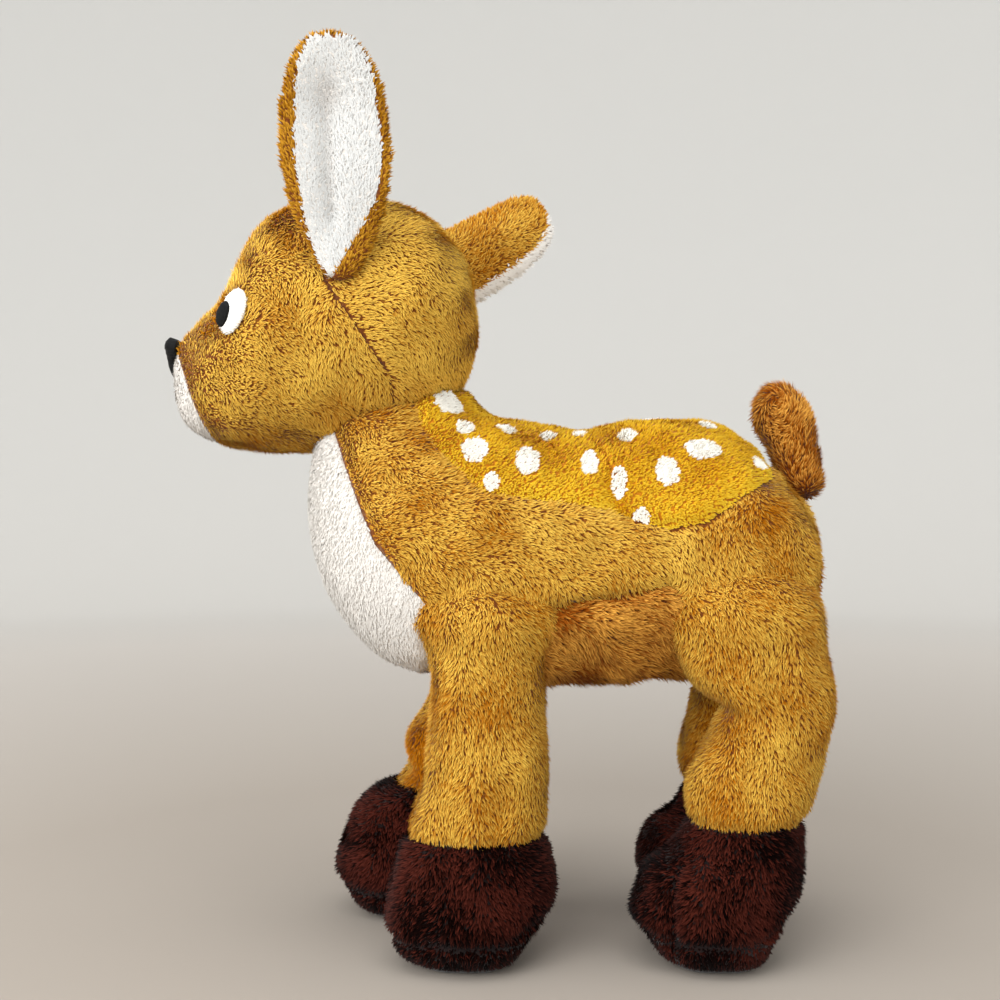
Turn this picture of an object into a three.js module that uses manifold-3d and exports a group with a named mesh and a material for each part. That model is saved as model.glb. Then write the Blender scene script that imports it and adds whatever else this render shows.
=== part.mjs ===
// A standing plush fawn, sewn from pile fabric panels over loose stuffing.
// Millimetres. The toy faces -X, its left side is at -Y, and it stands on z = 0.

import * as THREE from 'three';
import { mergeVertices } from 'three/addons/utils/BufferGeometryUtils.js';
import Module from 'manifold-3d';

const wasm = await Module();
wasm.setup();

// Fits and fabric
const seamGap = 0.3; // clearance between pieces that touch
const pileWall = 3; // pile fabric, with its pile pressed down
const feltWall = 1.2; // felt of the eyes
const overrun = 40; // how far a cutter reaches past what it cuts

// Torso: from the chest to the rump, belly to back, side to side
const torsoLength = 190;
const torsoHeight = 98;
const torsoWidth = 92;
const chestX = -70.65; // front of the chest
const bellyZ = 93; // underside of the belly
const torsoRoundness = 2.3;

// Each row: upper edge x and z, lower edge x and z, half width, as shares of the torso
const torsoShares = [
  [0.330, 1.165, 0.010, 1.010, 0.60],
  [0.340, 1.085, 0.012, 0.935, 0.67],
  [0.356, 1.070, 0.000, 0.740, 0.76],
  [0.378, 1.052, 0.010, 0.530, 0.86],
  [0.412, 1.030, 0.052, 0.310, 0.94],
  [0.470, 1.008, 0.150, 0.098, 0.99],
  [0.560, 0.998, 0.300, 0.012, 1.00],
  [0.670, 1.030, 0.505, 0.000, 0.97],
  [0.790, 1.018, 0.700, 0.020, 0.98],
  [0.895, 0.905, 0.865, 0.060, 0.95],
  [0.965, 0.740, 0.955, 0.185, 0.80],
  [0.995, 0.600, 0.990, 0.340, 0.52],
  [1.000, 0.470, 1.000, 0.470, 0.00],
];

// Neck seam: the plane where the head is sewn on, through two points of the torso
const neckFrontShares = [0.012, 0.935];
const neckBackShares = [0.340, 1.085];

// Seams between the torso's panels in the side view, as shares of the torso
const saddleSeamShares = [
  [0.215, 1.120], [0.235, 0.985], [0.290, 0.850], [0.350, 0.745], [0.430, 0.720],
  [0.560, 0.690], [0.690, 0.612], [0.760, 0.640], [0.840, 0.745], [0.900, 0.800], [0.920, 1.100],
];
const chestSeamShares = [
  [0.040, 1.100], [0.072, 0.975], [0.120, 0.760], [0.165, 0.560],
  [0.235, 0.400], [0.262, 0.330], [0.262, -0.100],
];
const bellySeamShare = 0.36;

// Head: muzzle to the back of the head, chin to crown, cheek to cheek
const headLength = 117;
const headHeight = 97;
const headWidth = 88;
const headForward = 25.3; // from the neck's centre to the middle of the head
const headRise = 37;
const headRoundness = 2.15;
const headShares = [
  [0.004, 0.296, 0.004, 0.296, 0.00],
  [0.013, 0.397, 0.013, 0.226, 0.22],
  [0.045, 0.467, 0.045, 0.151, 0.39],
  [0.103, 0.549, 0.103, 0.089, 0.53],
  [0.168, 0.624, 0.200, 0.030, 0.70],
  [0.220, 0.775, 0.317, 0.000, 0.87],
  [0.317, 0.930, 0.437, 0.008, 0.97],
  [0.492, 1.000, 0.566, 0.020, 1.00],
  [0.696, 0.988, 0.718, 0.062, 0.98],
  [0.857, 0.912, 0.848, 0.132, 0.87],
  [0.957, 0.748, 0.932, 0.226, 0.66],
  [0.990, 0.576, 0.980, 0.358, 0.38],
  [0.997, 0.464, 0.997, 0.464, 0.00],
];
const cheekSeamShares = [
  [0.480, 1.200], [0.490, 0.720], [0.550, 0.590], [0.640, 0.420], [0.720, 0.270], [0.760, -0.100],
];
const muzzleSeamShares = [
  [-0.050, 0.400], [0.035, 0.375], [0.062, 0.280], [0.097, 0.175], [0.135, 0.080], [0.150, -0.080],
];

// Nose: a small padded triangle on the muzzle's tip
const noseWidth = 17;
const noseHeight = 12;
const noseDepth = 5;
const noseSeatShares = [0.012, 0.378];
const noseLean = 0.3; // radians that its face leans back
const noseOutlineShares = [
  [-0.5, 0.36], [-0.36, 0.5], [0.36, 0.5], [0.5, 0.36], [0.12, -0.46], [-0.12, -0.46],
];

// Eyes: a white felt oval with a black pupil on it
const eyeWidth = 12;
const eyeHeight = 17.5;
const pupilWidth = 7;
const pupilHeight = 9.5;
const eyePlaceShares = [0.225, 0.515, 0.27]; // along, up and out from the middle, of the head
const pupilForward = 2; // from the eye's middle, towards the nose
const eyeTurn = 0.68; // radians from straight ahead to the side

// Ears: a brown back cupped round a white lining, on a short root in the head's side
const earLength = 77; // from the pivot to the tip
const earWidth = 38;
const earThickness = 7;
const earCup = 4.5;
const earRim = 3.4; // brown edge left round the lining
const earLiningDepth = 3;
const earRootRadius = 7;
const earRootDepth = 6;
const earPlaceShares = [0.598, 0.675, 0.540]; // along, up and out from the middle, of the head
const earSplay = 0.1; // radians that the ears lean out
const rightEarFold = 1.01; // radians that the right ear lies back at rest
const earShares = [
  [-0.115, 0.00], [-0.095, 0.24], [-0.030, 0.42], [0.070, 0.62], [0.220, 0.86], [0.420, 1.00],
  [0.620, 0.97], [0.790, 0.85], [0.910, 0.62], [0.975, 0.37], [1.000, 0.00],
];

// Tail: short and fat, curling up from a ball that seats in the rump
const tailRise = 38; // from its pivot to its tip
const tailDepth = 27;
const tailWidth = 23;
const tailBaseRadius = 9;
const tailPlaceShares = [0.985, 0.800];
const tailRoundness = 2;

// Each row: front edge x and z, back edge x and z, half width; x of the depth, z of the rise
const tailShares = [
  [-0.20, -0.10, 0.20, -0.10, 0.40],
  [-0.27, 0.06, 0.29, 0.02, 0.66],
  [-0.40, 0.20, 0.36, 0.21, 0.86],
  [-0.58, 0.40, 0.33, 0.46, 1.00],
  [-0.69, 0.58, 0.25, 0.68, 1.00],
  [-0.66, 0.77, 0.09, 0.85, 0.86],
  [-0.54, 0.91, -0.12, 0.97, 0.56],
  [-0.34, 1.00, -0.34, 1.00, 0.00],
];

// Legs: places out from the middle plane, and half the web of torso between the hips
const legCentreY = 29;
const legWidth = 43;
const legInnerY = 6.5;
const legRoundness = 2.3;
const legSwing = THREE.MathUtils.degToRad(15);

// Hooves: height of the top seam, length and width, and the sole sewn in under them
const hoofHeight = 43.5;
const hoofLength = 63;
const hoofWidth = 51;
const soleHeight = 11;
const footFlat = 0.5; // depth of the flat that the soft sole stands on
const hoofRoundness = 2.2;

// A hoof starts inside the leg, at shares of the ankle's height and size
const hoofTopShares = [[1.18, 0.80], [1.00, 1.02]];

// Each row below: height, half length, middle forward and half width, as shares of the hoof
const hoofShares = [
  [0.76, 0.93, 0.80, 0.94], [0.46, 1.00, 1.00, 1.00], [0.24, 0.97, 1.00, 0.99], [0.09, 0.84, 0.90, 0.88],
  [0.00, 0.60, 0.85, 0.66], [0.00, 0.00, 0.85, 0.00],
];

// Front and rear legs. A row: height over the pivot in drops to the hoof, front and
// back edge in shaft radii and half width in leg half widths; the ankle's row ends the leg
const frontLeg = {
  placeShares: [0.361, 0.275], // of the torso
  radius: 26, // of the round top that turns in the torso
  shaftRadius: 22,
  hoofForward: 5.5, // of the hoof's middle, from the pivot
  shares: [
    [0.32, 0.00, 0.00, 0.00], [0.27, -0.50, 0.50, 0.70], [0.14, -0.86, 0.86, 0.92], [-0.02, -1.00, 1.00, 0.98],
    [-0.28, -1.00, 1.00, 1.01], [-0.52, -1.02, 1.07, 1.02], [-0.74, -1.13, 1.12, 1.01],
    [-0.90, -1.30, 1.07, 0.98], [-1.00, -1.40, 1.00, 0.95], [-1.15, -1.25, 0.85, 0.80],
  ],
  ankleShares: [-1.40, 1.00, 0.95],
};
const rearLeg = {
  placeShares: [0.845, 0.296],
  radius: 29.5,
  shaftRadius: 28.5,
  hoofForward: 9.8,
  shares: [
    [0.36, 0.00, 0.00, 0.00], [0.31, -0.50, 0.50, 0.72], [0.17, -0.86, 0.86, 0.94], [-0.02, -0.99, 1.00, 1.00],
    [-0.20, -0.95, 1.04, 1.03], [-0.34, -0.72, 1.10, 1.04], [-0.46, -0.44, 1.12, 1.00], [-0.64, -0.70, 1.02, 1.02],
    [-0.80, -0.84, 0.92, 1.00], [-0.92, -0.78, 0.80, 0.96], [-1.00, -0.76, 0.76, 0.93], [-1.15, -0.60, 0.60, 0.78],
  ],
  ankleShares: [-0.76, 0.76, 0.93],
};
const rightFrontReach = 23; // the right front hoof stands this much further forward
const rightRearTuck = 7.5; // the right rear hoof stands this much further back
const reachFromShare = 0.3; // of the way down, where those two legs start to bend

// Facets round each body
const torsoSides = 18;
const headSides = 18;
const legSides = 12;
const tailSides = 10;
const earHalfSides = 5;
const roundSides = 20;
const smallSides = 12;

const finishes = {
  brown: ['#c08a34', 0.95],
  saddle: ['#daa022', 0.9],
  belly: ['#a9652a', 0.95],
  white: ['#f5f0ea', 0.95],
  hoof: ['#46201a', 0.95],
  black: ['#0d0b0c', 0.6],
  felt: ['#f7f4ee', 0.9],
  stuffing: ['#efefec', 1],
};

// Tools for solids

function toSolid(geometry) {
  const bare = geometry.clone();
  bare.deleteAttribute('normal');
  bare.deleteAttribute('uv');
  const merged = mergeVertices(bare);
  return new wasm.Manifold(new wasm.Mesh({
    numProp: 3,
    vertProperties: new Float32Array(merged.attributes.position.array),
    triVerts: new Uint32Array(merged.index.array),
  }));
}

function toGeometry(solid) {
  const { vertProperties, triVerts } = solid.getMesh();
  const geometry = new THREE.BufferGeometry();
  geometry.setAttribute('position', new THREE.BufferAttribute(vertProperties, 3));
  geometry.setIndex(new THREE.BufferAttribute(triVerts, 1));
  geometry.computeVertexNormals();
  return geometry;
}

// Joins rings of equal length, each a list of points, into one closed skin. An end
// ring is closed by a fan from its middle, or is itself a point.
function skin(rings) {
  const sides = rings[0].length;
  const points = rings.flat();
  const triangles = [];
  const corner = (ring, side) => ring * sides + (side % sides);
  for (let ring = 0; ring < rings.length - 1; ring += 1) {
    for (let side = 0; side < sides; side += 1) {
      const [a, b] = [corner(ring, side), corner(ring, side + 1)];
      const [c, d] = [corner(ring + 1, side), corner(ring + 1, side + 1)];
      triangles.push([a, b, c], [b, d, c]);
    }
  }
  for (const [ring, flip] of [[0, true], [rings.length - 1, false]]) {
    const middle = new THREE.Vector3();
    rings[ring].forEach((point) => middle.addScaledVector(point, 1 / sides));
    points.push(middle);
    for (let side = 0; side < sides; side += 1) {
      const [a, b] = [corner(ring, side), corner(ring, side + 1)];
      triangles.push(flip ? [b, a, points.length - 1] : [a, b, points.length - 1]);
    }
  }
  const geometry = new THREE.BufferGeometry().setFromPoints(points);
  geometry.setIndex(triangles.flat());
  const merged = mergeVertices(geometry);
  const index = merged.index.array;
  const kept = [];
  for (let at = 0; at < index.length; at += 3) {
    const [a, b, c] = index.subarray(at, at + 3);
    if (a !== b && b !== c && c !== a) kept.push(a, b, c);
  }
  merged.setIndex(kept);
  return facingOut(merged);
}

// Turns a closed skin's triangles round if they enclose less than nothing
function facingOut(geometry) {
  const { index, attributes: { position } } = geometry;
  const [a, b, c] = [new THREE.Vector3(), new THREE.Vector3(), new THREE.Vector3()];
  let volume = 0;
  for (let at = 0; at < index.count; at += 3) {
    [a, b, c].forEach((point, corner) => point.fromBufferAttribute(position, index.getX(at + corner)));
    volume += a.dot(b.cross(c));
  }
  if (volume < 0) geometry.setIndex([...index.array].reverse());
  return geometry;
}

// Moves every point of a closed skin inward along its normal, or outward if depth is below zero
function inset(geometry, depth) {
  const moved = geometry.clone();
  moved.computeVertexNormals();
  const { position, normal } = moved.attributes;
  for (let at = 0; at < position.count; at += 1) {
    position.setXYZ(
      at,
      position.getX(at) - depth * normal.getX(at),
      position.getY(at) - depth * normal.getY(at),
      position.getZ(at) - depth * normal.getZ(at),
    );
  }
  moved.deleteAttribute('normal');
  return moved;
}

// One ring between two edge points (x, z) of the side view, with a half width along Y
function ringBetween([upperX, upperZ], [lowerX, lowerZ], halfWidth, centreY, sides, roundness) {
  const bend = (value) => Math.sign(value) * Math.abs(value) ** (2 / roundness);
  const ring = [];
  for (let side = 0; side < sides; side += 1) {
    const angle = (side / sides) * 2 * Math.PI;
    const upper = (1 + bend(Math.cos(angle))) / 2;
    ring.push(new THREE.Vector3(
      lowerX + (upperX - lowerX) * upper,
      centreY + bend(Math.sin(angle)) * halfWidth,
      lowerZ + (upperZ - lowerZ) * upper,
    ));
  }
  return ring;
}

// A prism of an outline in the side view (x, z), from y = low to y = high
function sidePrism(outline, low, high) {
  const shape = new THREE.Shape(outline.map(([x, z]) => new THREE.Vector2(x, z)));
  const geometry = new THREE.ExtrudeGeometry(shape, { depth: high - low, bevelEnabled: false });
  geometry.rotateX(Math.PI / 2);
  geometry.translate(0, high, 0);
  return toSolid(geometry);
}

function arcPoints([centreX, centreZ], radius, from, to) {
  const steps = Math.ceil((roundSides * Math.abs(to - from)) / (2 * Math.PI));
  const points = [];
  for (let step = 0; step <= steps; step += 1) {
    const angle = from + ((to - from) * step) / steps;
    points.push([centreX + radius * Math.cos(angle), centreZ + radius * Math.sin(angle)]);
  }
  return points;
}

// Moves an open line of side view points to its left by a distance
function shifted(line, distance) {
  return line.map(([x, z], at) => {
    const [fromX, fromZ] = line[Math.max(at - 1, 0)];
    const [toX, toZ] = line[Math.min(at + 1, line.length - 1)];
    const span = Math.hypot(toX - fromX, toZ - fromZ);
    return [x - ((toZ - fromZ) / span) * distance, z + ((toX - fromX) / span) * distance];
  });
}

const mirrored = (solid) => solid.mirror([0, 1, 0]);

// Frames of shares

const torsoPoint = ([along, up]) => [chestX + along * torsoLength, bellyZ + up * torsoHeight];
const neckFront = torsoPoint(neckFrontShares);
const neckBack = torsoPoint(neckBackShares);
const neckCentre = [(neckFront[0] + neckBack[0]) / 2, (neckFront[1] + neckBack[1]) / 2];
const neckSpan = Math.hypot(neckBack[0] - neckFront[0], neckBack[1] - neckFront[1]);
const neckAlong = [(neckBack[0] - neckFront[0]) / neckSpan, (neckBack[1] - neckFront[1]) / neckSpan];

const headX = neckCentre[0] - headForward - headLength / 2;
const headZ = neckCentre[1] + headRise - headHeight / 2;
const headPoint = ([along, up]) => [headX + along * headLength, headZ + up * headHeight];
const wide = torsoWidth + headWidth;
const tall = torsoHeight + headHeight;
const long = torsoLength + headLength;

// The space above the neck seam, raised by a lift along the neck
function aboveNeck(lift) {
  const at = (along, up) => [
    neckCentre[0] + neckAlong[0] * along - neckAlong[1] * up,
    neckCentre[1] + neckAlong[1] * along + neckAlong[0] * up,
  ];
  return sidePrism([at(-long, lift), at(long, lift), at(long, tall), at(-long, tall)], -wide, wide);
}

// Everything between two heights, and everything on the left of a distance out
const sideBlock = (lowZ, highZ, low, high) => sidePrism(
  [[-long, lowZ], [long, lowZ], [long, highZ], [-long, highZ]], low, high,
);
const band = (lowZ, highZ) => sideBlock(lowZ, highZ, -wide, wide);
const leftSide = (fromY) => sideBlock(-tall, 2 * tall, -wide, -fromY);

// Legs

// Side view of a leg's round top and shaft. With a clearance and a swing it is the
// space that the leg turns in.
function legOutline({ placeShares, radius, shaftRadius }, clearance, swing) {
  const pivot = torsoPoint(placeShares);
  const round = (radius + clearance) / Math.cos(Math.PI / roundSides);
  const shaft = shaftRadius + clearance;
  const reach = Math.sqrt(round ** 2 - shaft ** 2);
  const side = (along) => [
    shaft * Math.cos(swing) + along * Math.sin(swing),
    shaft * Math.sin(swing) - along * Math.cos(swing),
  ];
  const [meetX, meetZ] = side(reach);
  const [footX, footZ] = side(torsoHeight);
  const from = Math.atan2(meetZ, meetX);
  return [
    [pivot[0] + footX, pivot[1] + footZ],
    ...arcPoints(pivot, round, from, Math.PI - from),
    [pivot[0] - footX, pivot[1] + footZ],
  ];
}

const legPocket = (leg) => sidePrism(legOutline(leg, seamGap, legSwing), -wide, -legInnerY);

function legSkin({ placeShares, shaftRadius, shares }, reach) {
  const [pivotX, pivotZ] = torsoPoint(placeShares);
  const drop = pivotZ - hoofHeight;
  return skin(shares.map(([height, front, back, width]) => {
    const way = THREE.MathUtils.smoothstep(-height, reachFromShare, 1);
    const z = pivotZ + height * drop;
    const middleX = pivotX - reach * way;
    return ringBetween(
      [middleX + front * shaftRadius, z], [middleX + back * shaftRadius, z],
      (width * legWidth) / 2, -legCentreY, legSides, legRoundness,
    );
  }));
}

function hoofSkin({ placeShares, shaftRadius, hoofForward, ankleShares }, reach) {
  const x = torsoPoint(placeShares)[0] - reach;
  const [front, back, across] = ankleShares;
  const ring = (height, frontX, backX, halfWidth) => {
    const z = height * (hoofHeight + footFlat) - footFlat;
    return ringBetween([frontX, z], [backX, z], halfWidth, -legCentreY, legSides, hoofRoundness);
  };
  const top = hoofTopShares.map(([height, size]) => ring(
    height, x + front * shaftRadius * size, x + back * shaftRadius * size, (across * legWidth * size) / 2,
  ));
  const rest = hoofShares.map(([height, length, forward, width]) => ring(
    height,
    x - forward * hoofForward - (length * hoofLength) / 2,
    x - forward * hoofForward + (length * hoofLength) / 2,
    (width * hoofWidth) / 2,
  ));
  return skin([...top, ...rest]);
}

// A left leg's pieces: cover, hoof, sole and the stuffing in all of them
function legPieces(leg, reach) {
  const pivot = torsoPoint(leg.placeShares);
  const shaft = legSkin(leg, reach);
  const hoof = hoofSkin(leg, reach);
  const roundTop = (shrink, innerY) => sidePrism(
    arcPoints(pivot, leg.radius - shrink, 0, 2 * Math.PI), -wide, -innerY,
  );
  const limb = (depth) => toSolid(inset(shaft, depth)).add(toSolid(inset(hoof, depth)));
  const flank = (depth, innerY) => toSolid(inset(torsoSkin, depth)).intersect(roundTop(depth, innerY));
  const outside = limb(0).add(flank(0, legInnerY + seamGap)).subtract(band(-tall, 0));
  const shell = outside.subtract(limb(pileWall).add(flank(pileWall, 0)));
  const stuffed = limb(pileWall + seamGap);
  return {
    leg_cover: [shell.subtract(band(-tall, hoofHeight + seamGap)), 'brown'],
    hoof_cover: [shell.intersect(band(soleHeight + seamGap, hoofHeight)), 'hoof'],
    sole: [shell.intersect(band(-tall, soleHeight)), 'hoof'],
    leg_stuffing: [stuffed, 'stuffing'],
  };
}

// Torso

const torsoSkin = skin(torsoShares.map(([upX, upZ, lowX, lowZ, width]) => ringBetween(
  torsoPoint([upX, upZ]), torsoPoint([lowX, lowZ]), (width * torsoWidth) / 2, 0, torsoSides, torsoRoundness,
)));

const [tailX, tailZ] = torsoPoint(tailPlaceShares);

function tailSocket(clearance) {
  const radius = (tailBaseRadius + clearance) / Math.cos(Math.PI / smallSides) ** (clearance > 0 ? 2 : 0);
  const ball = new THREE.SphereGeometry(radius, smallSides, smallSides / 2);
  ball.rotateX(Math.PI / 2);
  ball.translate(tailX, 0, tailZ);
  return toSolid(ball);
}

function torsoPieces() {
  const pockets = [frontLeg, rearLeg].map(legPocket);
  const hollows = wasm.Manifold.union([...pockets, ...pockets.map(mirrored), tailSocket(seamGap)]);
  const body = toSolid(torsoSkin).subtract(aboveNeck(0)).subtract(hollows);
  const shell = body.subtract(toSolid(inset(torsoSkin, pileWall)));
  const stuffed = body.intersect(toSolid(inset(torsoSkin, pileWall + seamGap)));

  const topZ = bellyZ + tall;
  const frontX = chestX - overrun;
  const saddleLine = saddleSeamShares.map(torsoPoint);
  const chestLine = chestSeamShares.map(torsoPoint);
  const bellySeam = bellyZ + bellySeamShare * torsoHeight;
  const overSaddle = (line) => sidePrism(
    [...line, [line.at(-1)[0], topZ], [line[0][0], topZ]], -wide, wide,
  );
  const beforeChest = (line) => sidePrism(
    [...line, [frontX, line.at(-1)[1]], [frontX, line[0][1]]], -wide, wide,
  );

  const behindChest = shell.subtract(beforeChest(chestLine));
  const sides = behindChest.subtract(overSaddle(saddleLine)).subtract(band(-tall, bellySeam));
  return {
    left_side_panel: [sides.intersect(leftSide(seamGap / 2)), 'brown'],
    right_side_panel: [sides.intersect(mirrored(leftSide(seamGap / 2))), 'brown'],
    saddle_panel: [shell.intersect(overSaddle(shifted(saddleLine, seamGap))), 'saddle'],
    chest_panel: [shell.intersect(beforeChest(shifted(chestLine, -seamGap))), 'white'],
    belly_panel: [behindChest.intersect(band(-tall, bellySeam - seamGap)), 'belly'],
    torso_stuffing: [stuffed, 'stuffing'],
  };
}

// Head

const headSkin = skin(headShares.map(([upX, upZ, lowX, lowZ, width]) => ringBetween(
  headPoint([upX, upZ]), headPoint([lowX, lowZ]), (width * headWidth) / 2, 0, headSides, headRoundness,
)));

const [earX, earZ] = headPoint(earPlaceShares);
const earY = -earPlaceShares[2] * headWidth;

function placeEar(geometry, fold) {
  geometry.rotateY(fold);
  geometry.rotateX(earSplay);
  geometry.translate(earX, earY, earZ);
  return toSolid(geometry);
}

// A round root from inside the ear's back into the head
function earRoot(clearance) {
  const start = earThickness / 4;
  const length = start + earRootDepth + clearance;
  const radius = (earRootRadius + clearance) / Math.cos(Math.PI / smallSides) ** (clearance > 0 ? 1 : 0);
  const root = new THREE.CylinderGeometry(radius, radius, length, smallSides);
  root.translate(0, start + length / 2, 0);
  return placeEar(root, 0);
}

// A leaf shaped body, less a rim all round: its rings run across the ear between two
// bent surfaces, each a depth over the height and the share of the way out to the edge
function earLeaf(rows, rim, frontOf, backOf) {
  return skin(rows.map(([height, halfWidth]) => {
    const ring = [];
    for (let side = 0; side < 2 * earHalfSides + 2; side += 1) {
      const surface = side <= earHalfSides ? frontOf : backOf;
      const step = side <= earHalfSides ? side : 2 * earHalfSides + 1 - side;
      const x = -Math.cos((step / earHalfSides) * Math.PI) * (halfWidth - rim);
      ring.push(new THREE.Vector3(x, surface(height, halfWidth > 0 ? x / halfWidth : 0), height * earLength));
    }
    return ring;
  }));
}

function earPieces(fold) {
  const rows = earShares.map(([height, width]) => [height, (width * earWidth) / 2]);
  const cup = (height, across) => (
    earCup * Math.sin(Math.PI * THREE.MathUtils.clamp(height, 0, 1)) * (1 - across ** 2)
  );
  const swell = (across) => (earThickness / 2) * Math.sqrt(Math.max(1 - across ** 2, 0));
  const front = (height, across) => cup(height, across) - swell(across);
  const back = (height, across) => cup(height, across) + swell(across);
  const whole = placeEar(earLeaf(rows, 0, front, back), fold);

  // The lining lies in the cup, inside the rim
  const liningRows = rows.filter(([, half]) => half > 2 * earRim);
  const lining = (clearance) => placeEar(earLeaf(
    liningRows,
    earRim - clearance,
    (height, across) => front(height, across) - overrun,
    (height, across) => front(height, across) + earLiningDepth + clearance,
  ), fold);
  return {
    ear_back: [whole.subtract(lining(seamGap)).add(earRoot(0)), 'brown'],
    ear_lining: [whole.intersect(lining(0)), 'white'],
  };
}

// A felt disc that follows the face, seen from a direction between ahead and the side
function eyeDisc(width, height, forward, lift, turn = (solid) => solid) {
  const outline = new THREE.Shape();
  outline.absellipse(0, 0, width / 2, height / 2, 0, 2 * Math.PI, false, 0);
  const prism = new THREE.ExtrudeGeometry(outline, {
    depth: overrun, bevelEnabled: false, curveSegments: smallSides / 2,
  });
  prism.translate(-forward, 0, -overrun / 4);
  prism.applyMatrix4(new THREE.Matrix4().makeBasis(
    new THREE.Vector3(Math.sin(eyeTurn), -Math.cos(eyeTurn), 0),
    new THREE.Vector3(0, 0, 1),
    new THREE.Vector3(-Math.cos(eyeTurn), -Math.sin(eyeTurn), 0),
  ));
  const [x, z] = headPoint(eyePlaceShares);
  prism.translate(x, -eyePlaceShares[2] * headWidth, z);
  const layer = toSolid(inset(headSkin, -lift - feltWall)).subtract(toSolid(inset(headSkin, -lift)));
  return turn(toSolid(prism)).intersect(layer);
}

function eyePieces(turn) {
  return {
    eye_white: [eyeDisc(eyeWidth, eyeHeight, 0, seamGap, turn), 'felt'],
    eye_pupil: [eyeDisc(pupilWidth, pupilHeight, pupilForward, feltWall + 2 * seamGap, turn), 'black'],
  };
}

function nose() {
  const outline = new THREE.Shape(noseOutlineShares.map(([across, up]) => (
    new THREE.Vector2(across * noseWidth, up * noseHeight)
  )));
  const wedge = new THREE.ExtrudeGeometry(outline, {
    depth: noseDepth, bevelThickness: noseDepth / 4, bevelSize: noseDepth / 4, bevelSegments: 2,
  });
  wedge.rotateX(Math.PI / 2);
  wedge.rotateZ(-Math.PI / 2);
  wedge.rotateY(-noseLean);
  const [x, z] = headPoint(noseSeatShares);
  wedge.translate(x + noseDepth / 2, 0, z);
  return toSolid(wedge).subtract(toSolid(inset(headSkin, -seamGap)));
}

function headPieces() {
  const roots = earRoot(seamGap);
  const body = toSolid(headSkin).intersect(aboveNeck(seamGap)).subtract(roots).subtract(mirrored(roots));
  const shell = body.subtract(toSolid(inset(headSkin, pileWall)));
  const stuffed = body.intersect(toSolid(inset(headSkin, pileWall + seamGap)));

  const cheekLine = cheekSeamShares.map(headPoint);
  const muzzleLine = muzzleSeamShares.map(headPoint);
  const backX = headX + headLength + overrun;
  const frontX = headX - overrun;
  const lowZ = headZ - overrun;
  const behindCheek = (line) => sidePrism(
    [...line, [backX, line.at(-1)[1]], [backX, line[0][1]]], -wide, wide,
  );
  const underMuzzle = (line) => sidePrism(
    [...line, [line.at(-1)[0], lowZ], [frontX, lowZ], [frontX, line[0][1]]], -wide, wide,
  );

  const face = shell.subtract(behindCheek(cheekLine)).subtract(underMuzzle(muzzleLine));
  return {
    left_face_panel: [face.intersect(leftSide(seamGap / 2)), 'brown'],
    right_face_panel: [face.intersect(mirrored(leftSide(seamGap / 2))), 'brown'],
    back_of_head_panel: [shell.intersect(behindCheek(shifted(cheekLine, seamGap))), 'brown'],
    muzzle_panel: [shell.intersect(underMuzzle(shifted(muzzleLine, -seamGap))), 'white'],
    head_stuffing: [stuffed, 'stuffing'],
    nose: [nose(), 'black'],
  };
}

// Tail

function tailPieces() {
  const body = skin(tailShares.map(([frontX, frontZ, backX, backZ, width]) => ringBetween(
    [tailX + frontX * tailDepth, tailZ + frontZ * tailRise],
    [tailX + backX * tailDepth, tailZ + backZ * tailRise],
    (width * tailWidth) / 2, 0, tailSides, tailRoundness,
  )));
  const filled = (depth) => toSolid(inset(body, depth)).add(tailSocket(-depth));
  const mouth = new THREE.CylinderGeometry(tailBaseRadius / 2, tailBaseRadius / 2, 2 * tailBaseRadius, tailSides);
  mouth.rotateX(Math.PI / 2);
  mouth.translate(tailX - tailBaseRadius / 2, 0, tailZ - tailBaseRadius);
  return {
    tail_cover: [filled(0).subtract(filled(pileWall)).subtract(toSolid(mouth)), 'brown'],
    tail_stuffing: [filled(pileWall + seamGap), 'stuffing'],
  };
}

// Assembly

const fawn = new THREE.Group();

function place(name, [solid, finish]) {
  const [color, roughness] = finishes[finish];
  const material = new THREE.MeshStandardMaterial({ color, roughness, metalness: 0 });
  const mesh = new THREE.Mesh(toGeometry(solid), material);
  mesh.name = name;
  fawn.add(mesh);
}

function placeAll(prefix, pieces, turn = (solid) => solid) {
  for (const [name, [solid, finish]] of Object.entries(pieces)) place(prefix + name, [turn(solid), finish]);
}

placeAll('', torsoPieces());
placeAll('', headPieces());
placeAll('', tailPieces());

placeAll('left_', eyePieces());
placeAll('right_', eyePieces(mirrored));
placeAll('left_', earPieces(0));
placeAll('right_', earPieces(rightEarFold), mirrored);
placeAll('left_front_', legPieces(frontLeg, 0));
placeAll('right_front_', legPieces(frontLeg, rightFrontReach), mirrored);
placeAll('left_rear_', legPieces(rearLeg, 0));
placeAll('right_rear_', legPieces(rearLeg, -rightRearTuck), mirrored);

export default fawn;
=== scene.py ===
"""A standing plush fawn: padded bodies under sewn panels, each covered with combed pile.

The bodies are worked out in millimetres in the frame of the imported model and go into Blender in
metres. A padded body is a closed surface that is remeshed, puffed between its seams and sculpted.
Its panels are cut from it along the seams, and the pile is planted on it, one closed tuft at a time.
"""

import logging
from collections.abc import Callable
from dataclasses import dataclass, field
from enum import Enum

import bpy
import numpy as np
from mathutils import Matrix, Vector
from mathutils.bvhtree import BVHTree


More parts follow.
